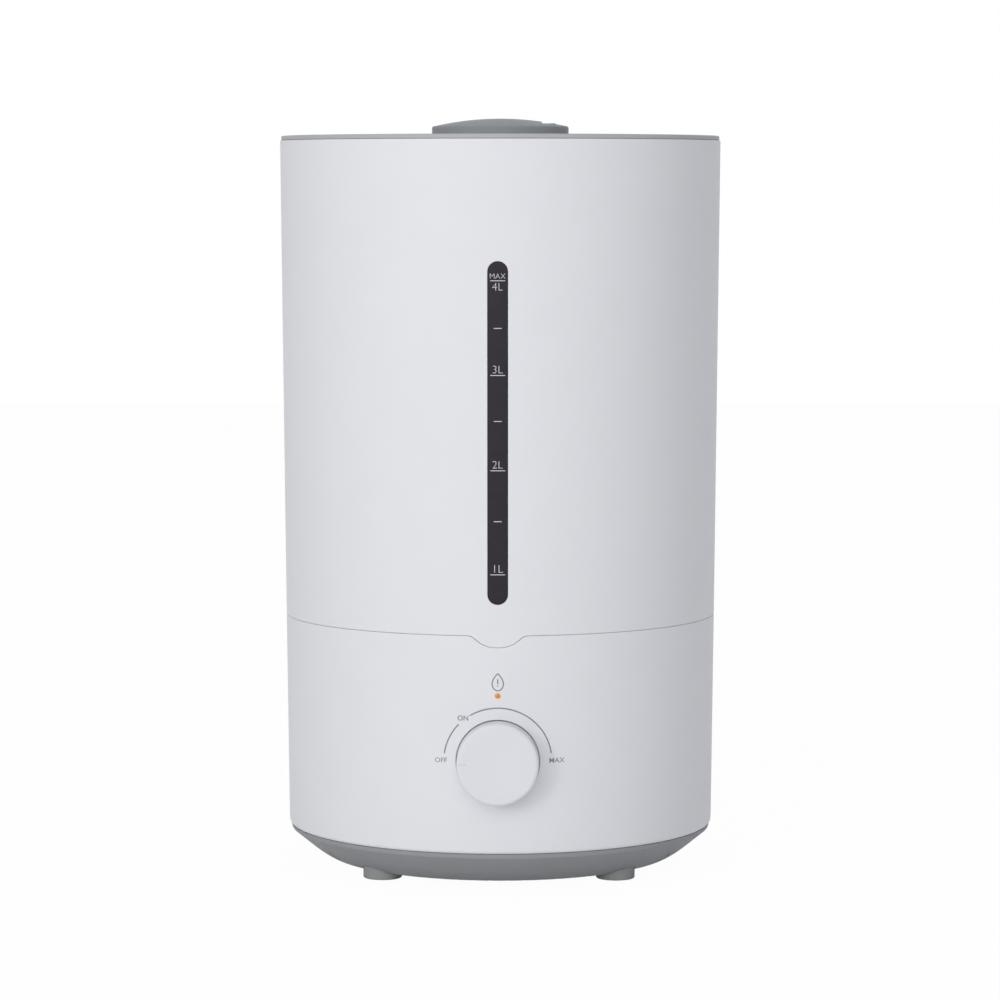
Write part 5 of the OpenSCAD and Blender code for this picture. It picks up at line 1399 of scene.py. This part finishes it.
def makePanelPrint():
    arcs = []
    radius = panelPrint["arcRadius"]
    for begin, finish in panelPrint["arcs"]:
        count = round((finish - begin) / 3)
        angles = [math.radians(begin + (finish - begin) * i / count) for i in range(count + 1)]
        arcs.append(([(radius * math.cos(a), dial["height"] + radius * math.sin(a)) for a in angles], False))
    addStrokes("dialArc", arcs, panelPrint["arcWidth"], "greyInk", "base", baseRadius)
    addPiece("dialWords", wordShape(panelPrint["words"], baseRadius), "greyInk", "base")
    half, tall = panelPrint["dropWidth"] / 2, panelPrint["dropHeight"]
    low = panelPrint["dropMiddle"] - tall / 2
    drop = []
    belly = panelPrint["dropBelly"]
    tipShare = (20 / 28) ** 1.4
    for i in range(29):  # right side from the foot up to the tip
        t = (i / 28) ** 1.4 if i < 20 else tipShare + (1 - tipShare) * (i - 20) / 8
        swell = math.sqrt(1 - (1 - t / belly) ** 2) if t < belly else 1 - ((t - belly) / (1 - belly)) ** 1.75
        drop.append((half * swell, low + tall * t))
    outline = drop + [(-x, z) for x, z in reversed(drop[1:-1])]
    middle = low + half + 0.5
    strokes = [(outline, True)]
    for foot, tip in ((-0.15, 2.0), (-1.15, -0.72)):
        strokes.append(([(0, middle + foot), (0, middle + tip)], False))
    addStrokes("lowWaterMark", strokes, panelPrint["dropStroke"], "greyInk", "base", baseRadius)


makePanelPrint()
print("printed the gauge and the panel")


# pieces that repeat, set out by a node tree
def makeSpotTree():
    tree = bpy.data.node_groups.new("spotCopies", "GeometryNodeTree")
    link = tree.links.new
    face = tree.interface
    face.new_socket("Spots", in_out="INPUT", socket_type="NodeSocketGeometry")
    face.new_socket("Piece", in_out="INPUT", socket_type="NodeSocketObject")
    face.new_socket("Spin", in_out="INPUT", socket_type="NodeSocketFloat")
    face.new_socket("Seed", in_out="INPUT", socket_type="NodeSocketInt")
    face.new_socket("Finish", in_out="INPUT", socket_type="NodeSocketMaterial")
    face.new_socket("Copies", in_out="OUTPUT", socket_type="NodeSocketGeometry")
    start, end = tree.nodes.new("NodeGroupInput"), tree.nodes.new("NodeGroupOutput")
    piece = tree.nodes.new("GeometryNodeObjectInfo")
    copies = tree.nodes.new("GeometryNodeInstanceOnPoints")
    chance = addNode(tree, "FunctionNodeRandomValue", {"data_type": "FLOAT"})
    turned = tree.nodes.new("ShaderNodeCombineXYZ")
    whole = tree.nodes.new("GeometryNodeRealizeInstances")
    paint = tree.nodes.new("GeometryNodeSetMaterial")
    spin = next(socket for socket in chance.inputs if socket.name == "Max" and socket.type == "VALUE")
    low = next(socket for socket in chance.inputs if socket.name == "Min" and socket.type == "VALUE")
    low.default_value = 0.0
    link(start.outputs["Spin"], spin)
    link(start.outputs["Seed"], chance.inputs["Seed"])
    value = next(socket for socket in chance.outputs if socket.type == "VALUE")
    link(value, turned.inputs["Z"])
    link(start.outputs["Piece"], piece.inputs["Object"])
    link(start.outputs["Spots"], copies.inputs["Points"])
    link(piece.outputs["Geometry"], copies.inputs["Instance"])
    link(turned.outputs[0], copies.inputs["Rotation"])
    link(copies.outputs["Instances"], whole.inputs["Geometry"])
    link(whole.outputs["Geometry"], paint.inputs["Geometry"])
    link(start.outputs["Finish"], paint.inputs["Material"])
    link(paint.outputs["Geometry"], end.inputs["Copies"])
    return tree


spotTree = makeSpotTree()


def addCopies(name, shape, spots, height, finish, node, spin=0.0, seed=3):
    pattern = makeMesh(name + ".pattern", shape, 0.0, fine["copyMerge"])
    source = bpy.data.objects.new(name + ".source", pattern)
    points = bpy.data.meshes.new(name + ".spots")
    points.from_pydata([(x * mm, (y + axisY) * mm, height * mm) for x, y in spots], [], [])
    settings = {"Piece": source, "Spin": spin, "Seed": seed, "Finish": materials[finish]}
    finished = grow(name, points, spotTree, settings)
    bpy.data.objects.remove(source)
    return placePiece(name, finished, bodyOf[node], [node])


# the grooves are rings moulded in the sole
foot = {
    "radius": 8.25,
    "height": 6.8,
    "edge": 0.7,
    "studRadius": 2.5,
    "studHeight": 9.2,
    "grooves": [6.2, 3.6],
    "grooveDepth": 0.5,
}


def makeFeet():
    shape = Shape()
    corners = [(foot["radius"], foot["height"], 0.4), (foot["radius"], 0.0, foot["edge"])]
    deep = foot["grooveDepth"]
    for r in foot["grooves"]:
        corners += [(r + 0.45, 0.0, 0.12), (r + 0.25, deep, 0.1)]
        corners += [(r - 0.25, deep, 0.1), (r - 0.45, 0.0, 0.12)]
    outline = rounded(corners + [(0.8, 0.0), (0.0, 0.0)], 4)
    outline += [(0.0, foot["studHeight"]), (foot["studRadius"] - 0.4, foot["studHeight"])]
    outline += [(foot["studRadius"], foot["studHeight"] - 0.5), (foot["studRadius"], foot["height"])]
    shape.addTurned(outline, 64)
    spots = ringSpots(pan["footRing"], pan["footTurns"])
    addCopies("rubberFeet", shape, spots, 0, "greyRubber", "rubber_feet")


makeFeet()

screw = {
    "head": 2.9,
    "headHeight": 1.8,
    "headEdge": 0.5,
    "shank": 1.5,
    "crossWidth": 0.75,
    "crossReach": 1.75,
    "crossDepth": 1.1,
}


# cross-head screw with its head up: a domed sheet with the cross let into it
def screwShape(length):
    shape = Shape()
    w, reach = screw["crossWidth"] / 2, screw["crossReach"]
    quarter = [(reach, -w), (reach, w), (w, w)]
    cross = []
    for c, s in ((1, 0), (0, 1), (-1, 0), (0, -1)):
        cross += [(c * x - s * y, s * x + c * y) for x, y in quarter]
    edge = screw["head"] - screw["headEdge"]

    def dome(r):
        return screw["headHeight"] - 0.55 * (r / screw["head"]) ** 2

    flat, triangles = fillSheet(circleLoop(edge, (0, 0), 32), [cross], circleLoop(2.1, (0, 0), 24))
    shape.add([(x, y, dome(math.hypot(x, y))) for x, y in flat], triangles)
    deep = screw["headHeight"] - screw["crossDepth"]
    rings = [
        [(x, y, dome(math.hypot(x, y))) for x, y in cross],
        [(x * 0.86, y * 0.86, deep + 0.25) for x, y in cross],
        [(0, 0, deep)] * len(cross),
    ]
    shape.addRings(rings)
    outline = [(edge, dome(edge)), (edge + 0.3, dome(edge) - 0.12)]
    outline += [(screw["head"], dome(edge) - 0.45), (screw["head"], 0.0)]
    outline += [(screw["shank"], 0.0), (screw["shank"], -length + 1.2), (0.3, -length), (0.0, -length)]
    shape.addTurned(outline, 32, closed=False)
    return shape


def flipped(shape):
    turnedOver = Shape()
    turnedOver.add([(x, -y, -z) for x, y, z in shape.points], shape.faces)
    return turnedOver


def makeScrews():
    spots = ringSpots(posts["basinRing"], posts["basinTurns"])
    height = nodeBox("basin_screws")[1].z - screw["headHeight"]
    addCopies("basinScrews", screwShape(7), spots, height, "steel", "basin_screws", math.tau, 5)
    spots = ringSpots(posts["panRing"], posts["panTurns"])
    turnedOver = flipped(screwShape(14))
    addCopies("panScrews", turnedOver, spots, pan["screwWell"], "steel", "pan_screws", math.tau, 8)


makeScrews()

cover = {"radius": 3.3, "edge": 0.35, "sink": 0.25, "top": 10.9}


# soft plugs that close the screw wells flush with the sloping side
def makeWellCovers():
    shape = Shape()
    edge = cover["edge"]

    def sunk(loop, deeper=0.0):
        return [(x, y, panHeight(math.hypot(x, y)) + cover["sink"] + deeper) for x, y in loop]

    for place in ringSpots(posts["panRing"], posts["panTurns"]):
        rings = [sunk([place]) * 32]
        for share in (0.3, 0.6, 0.85):
            rings.append(sunk(circleLoop(cover["radius"] * share, place, 32)))
        for left, gone in edgeSteps():
            rings.append(sunk(circleLoop(cover["radius"] - edge * left, place, 32), edge * gone))
        rings.append([(x, y, cover["top"]) for x, y in circleLoop(cover["radius"], place, 32)])
        rings.append([(*place, cover["top"])] * 32)
        shape.addRings(rings)
    addPiece("wellCovers", shape, "greyPan", "base")


makeWellCovers()

lamp = {"proud": 0.1, "flange": 1.0, "flangeRadius": 2.0, "radius": 1.0, "collar": 1.75}


def makeLamp():
    lens = Shape()
    front = -baseRadius(lampHole["height"])
    back = nodeBox("indicator_lens")[1].y - axisY - front
    flange = back - lamp["flange"]
    proud, r, flangeRadius = lamp["proud"], lamp["radius"], lamp["flangeRadius"]
    outline = [(0, -proud - 0.12), (0.4, -proud - 0.09), (0.75, -proud), (0.95, 0.02), (r, 0.16)]
    outline += [(r, flange), (flangeRadius, flange), (flangeRadius, back), (0, back)]
    lens.addFacing([(r, front + depth) for r, depth in outline], lampHole["height"], 32)
    addPiece("lampLens", lens, "amberLight", "base", ["indicator_lens"])
    glowRing = Shape()
    collar = lamp["collar"]
    rings = []
    for r, depth in ((collar, 0.03), (collar, -0.008), (1.5, -0.014), (1.04, -0.008), (1.04, 0.03)):
        rings.append(laidLoop(circleLoop(r, (0, lampHole["height"]), 32), baseRadius, depth))
    glowRing.addRings(rings, True)
    addPiece("lampGlow", glowRing, "lampHalo", "base")


makeLamp()

grommet = {"bore": 3.1, "neck": 5.3, "flange": 7.5, "flangeDepth": 1.5}


def makeGland():
    ring = Shape()
    low, high = nodeBox("cord_gland")
    inside, outside = low.y - axisY, high.y - axisY
    seat = gland["seatPlane"]
    outline = rounded(
        [
            (grommet["bore"], inside, 0.3),
            (grommet["flange"], inside, 0.3),
            (grommet["flange"], inside + grommet["flangeDepth"]),
            (grommet["neck"], inside + grommet["flangeDepth"]),
            (grommet["neck"], seat),
            (grommet["flange"], seat),
            (grommet["flange"], outside, 0.7),
            (grommet["neck"] - 0.3, outside, 0.25),
            (grommet["neck"] - 0.7, outside - 0.5, 0.25),
            (grommet["bore"] + 0.5, outside - 0.5, 0.5),
            (grommet["bore"], outside - 1.2, 0.3),
            (grommet["bore"], outside - 2.6, 0.2),
            (grommet["bore"] + 0.35, outside - 3.0, 0.2),
            (grommet["bore"] + 0.35, outside - 3.8, 0.2),
            (grommet["bore"], outside - 4.2, 0.2),
        ],
        4,
    )
    ring.addFacing(outline, gland["height"], 72, True)
    addPiece("cordGland", ring, "blackRubber", "base", ["cord_gland"])


makeGland()
print("set out the feet, screws, lamp and gland")


# valve spring, a wound wire built at one fixed length; the real one gives when the valve is pressed
def makeSpringTree():
    tree = bpy.data.node_groups.new("woundSpring", "GeometryNodeTree")
    link = tree.links.new
    face = tree.interface
    face.new_socket("Start", in_out="INPUT", socket_type="NodeSocketGeometry")
    for label in ("Coil Radius", "Wire Radius", "Length", "Turns"):
        face.new_socket(label, in_out="INPUT", socket_type="NodeSocketFloat")
    face.new_socket("Foot", in_out="INPUT", socket_type="NodeSocketVector")
    face.new_socket("Metal", in_out="INPUT", socket_type="NodeSocketMaterial")
    face.new_socket("Spring", in_out="OUTPUT", socket_type="NodeSocketGeometry")
    start, end = tree.nodes.new("NodeGroupInput"), tree.nodes.new("NodeGroupOutput")
    spiral = addNode(tree, "GeometryNodeCurveSpiral", Resolution=28)
    wire = addNode(tree, "GeometryNodeCurvePrimitiveCircle", Resolution=10)
    sweep = tree.nodes.new("GeometryNodeCurveToMesh")
    sweep.inputs["Fill Caps"].default_value = True
    place = tree.nodes.new("GeometryNodeTransform")
    whole = tree.nodes.new("GeometryNodeRealizeInstances")
    paint = tree.nodes.new("GeometryNodeSetMaterial")
    for label, socket in (
        ("Turns", spiral.inputs["Rotations"]),
        ("Coil Radius", spiral.inputs["Start Radius"]),
        ("Coil Radius", spiral.inputs["End Radius"]),
        ("Length", spiral.inputs["Height"]),
        ("Wire Radius", wire.inputs["Radius"]),
        ("Foot", place.inputs["Translation"]),
        ("Metal", paint.inputs["Material"]),
    ):
        link(start.outputs[label], socket)
    link(spiral.outputs["Curve"], sweep.inputs["Curve"])
    link(wire.outputs["Curve"], sweep.inputs["Profile Curve"])
    link(sweep.outputs["Mesh"], place.inputs["Geometry"])
    link(place.outputs["Geometry"], whole.inputs["Geometry"])
    link(whole.outputs["Geometry"], paint.inputs["Geometry"])
    link(paint.outputs["Geometry"], end.inputs["Spring"])
    return tree


spring = {"wire": 0.4, "turns": 6.0, "travel": 2.0, "rest": 0.1}


def makeSpring():
    low, high = nodeBox("valve_spring")
    middle = nodeCentre("valve_spring")
    coil = (high.x - low.x) / 2 - spring["wire"]
    spot = bpy.data.meshes.new("valveSpring.start")
    spot.from_pydata([(0, 0, 0)], [], [])
    finished = grow("valveSpring", spot, makeSpringTree(), {
        "Coil Radius": coil * mm,
        "Wire Radius": spring["wire"] * mm,
        "Length": (high.z - low.z - 2 * spring["wire"] - 0.02) * mm,
        "Turns": spring["turns"],
        "Foot": (0, middle.y * mm, (low.z + spring["wire"] + 0.01) * mm),
        "Metal": materials["steel"],
    })
    node = "valve_spring"
    piece = placePiece("valveSpring", finished, bodyOf[node], [node])
    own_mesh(piece)


makeSpring()
print("wound the valve spring")

view = {"distance": 1.688, "height": 0.2953, "pitch": 4.68, "orbit": 0.65, "lens": 140.1, "shift": -0.0003}
turn = math.radians(view["orbit"])
camera = bpy.data.objects.new("camera", bpy.data.cameras.new("camera"))
bpy.context.scene.collection.objects.link(camera)
camera.data.sensor_width = 36
camera.data.lens = view["lens"]
camera.data.shift_x = view["shift"]
camera.data.clip_start = 0.05
camera.location = (
    math.sin(turn) * view["distance"],
    axisY * mm - math.cos(turn) * view["distance"],
    view["height"],
)
camera.rotation_euler = (math.radians(90 - view["pitch"]), 0, turn)
bpy.context.scene.camera = camera


def softbox(name, place, size, power):
    box = bpy.data.objects.new(name, bpy.data.lights.new(name, "AREA"))
    bpy.context.scene.collection.objects.link(box)
    box.data.shape = "RECTANGLE"
    box.data.size, box.data.size_y = size
    box.data.energy = power
    box.data.color = light["boxTint"]
    box.location = place
    box.rotation_euler = (Vector(light["aim"]) - Vector(place)).to_track_quat("-Z", "Y").to_euler()


light = {
    "aim": (0, 0, 0.16),
    "boxTint": (1.0, 0.99, 0.985),
    "place": (-0.62, -2.15, 0.95),
    "size": (2.5, 2.0),
    "power": 18.2,
    "accentPlace": (-1.0, -1.6, 0.55),
    "accentSize": (0.25, 0.5),
    "accentPower": 4.0,
    "left": 0.52,
    "right": 0.59,
    "flag": 0.3,
    "overhead": 1.2,
    "rear": 1.6,
    "leftTint": (0.98, 0.985, 1.0),
    "rightTint": (0.93, 0.955, 1.0),
    "paperShare": 0.97,
}
softbox("keyLight", light["place"], light["size"], light["power"])
softbox("accentLight", light["accentPlace"], light["accentSize"], light["accentPower"])


def product(tree, first, second):
    node = addNode(tree, "ShaderNodeMath", {"operation": "MULTIPLY"})
    for socket, value in zip(node.inputs, (first, second)):
        if isinstance(value, bpy.types.NodeSocket):
            tree.links.new(value, socket)
        else:
            socket.default_value = value
    return node.outputs[0]


# the studio's white is what the camera, gloss and glass see
def whiteSeen(tree):
    path = tree.nodes.new("ShaderNodeLightPath")
    either = path.outputs["Is Camera Ray"]
    for kind in ("Is Glossy Ray", "Is Transmission Ray"):
        node = addNode(tree, "ShaderNodeMath", {"operation": "MAXIMUM"})
        tree.links.new(either, node.inputs[0])
        tree.links.new(path.outputs[kind], node.inputs[1])
        either = node.outputs[0]
    return either


world = bpy.data.worlds.new("studio")
bpy.context.scene.world = world
world.use_nodes = True
tree = world.node_tree
room = tree.nodes["Background"]
way = tree.nodes.new("ShaderNodeSeparateXYZ")
tree.links.new(addNode(tree, "ShaderNodeTexCoord").outputs["Generated"], way.inputs[0])
sides = spread(tree, way.outputs["X"], light["left"], light["right"], -1.0, 1.0)
above = spread(tree, way.outputs["Z"], 1.0, light["overhead"], 0.1, 0.9)
behind = spread(tree, way.outputs["Y"], 1.0, light["rear"], 0.5, 0.95)
reach = addNode(tree, "ShaderNodeMath", {"operation": "ABSOLUTE"})
tree.links.new(way.outputs["X"], reach.inputs[0])
flags = spread(tree, reach.outputs[0], 1.0, light["flag"], 0.6, 1.0)
seen = whiteSeen(tree)
across = spread(tree, way.outputs["X"], 0.0, 1.0, -1.0, 1.0)
tint = mixColours(tree, across, light["leftTint"], light["rightTint"])
tree.links.new(mixColours(tree, seen, tint, (1.0, 1.0, 1.0)), room.inputs["Color"])
blank = tree.nodes.new("ShaderNodeMix")
tree.links.new(seen, blank.inputs[0])
tree.links.new(product(tree, product(tree, sides, above), product(tree, behind, flags)), blank.inputs[2])
blank.inputs[3].default_value = 1.0
tree.links.new(blank.outputs[0], room.inputs["Strength"])

floorPaper = bpy.data.materials.new("floorPaper")
floorPaper.use_nodes = True
tree = floorPaper.node_tree
paper = tree.nodes["Principled BSDF"]
paper.inputs["Base Color"].default_value = (0.9, 0.9, 0.9, 1.0)
paper.inputs["Roughness"].default_value = 0.9
white = addNode(tree, "ShaderNodeEmission", Strength=1.0)
lit = tree.nodes.new("ShaderNodeMixShader")
tree.links.new(product(tree, whiteSeen(tree), light["paperShare"]), lit.inputs[0])
tree.links.new(paper.outputs[0], lit.inputs[1])
tree.links.new(white.outputs[0], lit.inputs[2])
below = tree.nodes.new("ShaderNodeMixShader")  # open when looked at from under the floor
tree.links.new(addNode(tree, "ShaderNodeNewGeometry").outputs["Backfacing"], below.inputs[0])
tree.links.new(lit.outputs[0], below.inputs[1])
tree.links.new(tree.nodes.new("ShaderNodeBsdfTransparent").outputs[0], below.inputs[2])
tree.links.new(below.outputs[0], tree.nodes["Material Output"].inputs["Surface"])

paperHalf = 3.5
floorMesh = bpy.data.meshes.new("studioFloor")
floorCorners = [(x * paperHalf, y * paperHalf, 0) for x, y in ((-1, -1), (1, -1), (1, 1), (-1, 1))]
floorMesh.from_pydata(floorCorners, [], [(0, 1, 2, 3)])
floorMesh.materials.append(floorPaper)
studioFloor = bpy.data.objects.new("studioFloor", floorMesh)
bpy.context.scene.collection.objects.link(studioFloor)
bpy.context.scene.view_settings.view_transform = "Standard"
print("placed camera, lamps and floor")
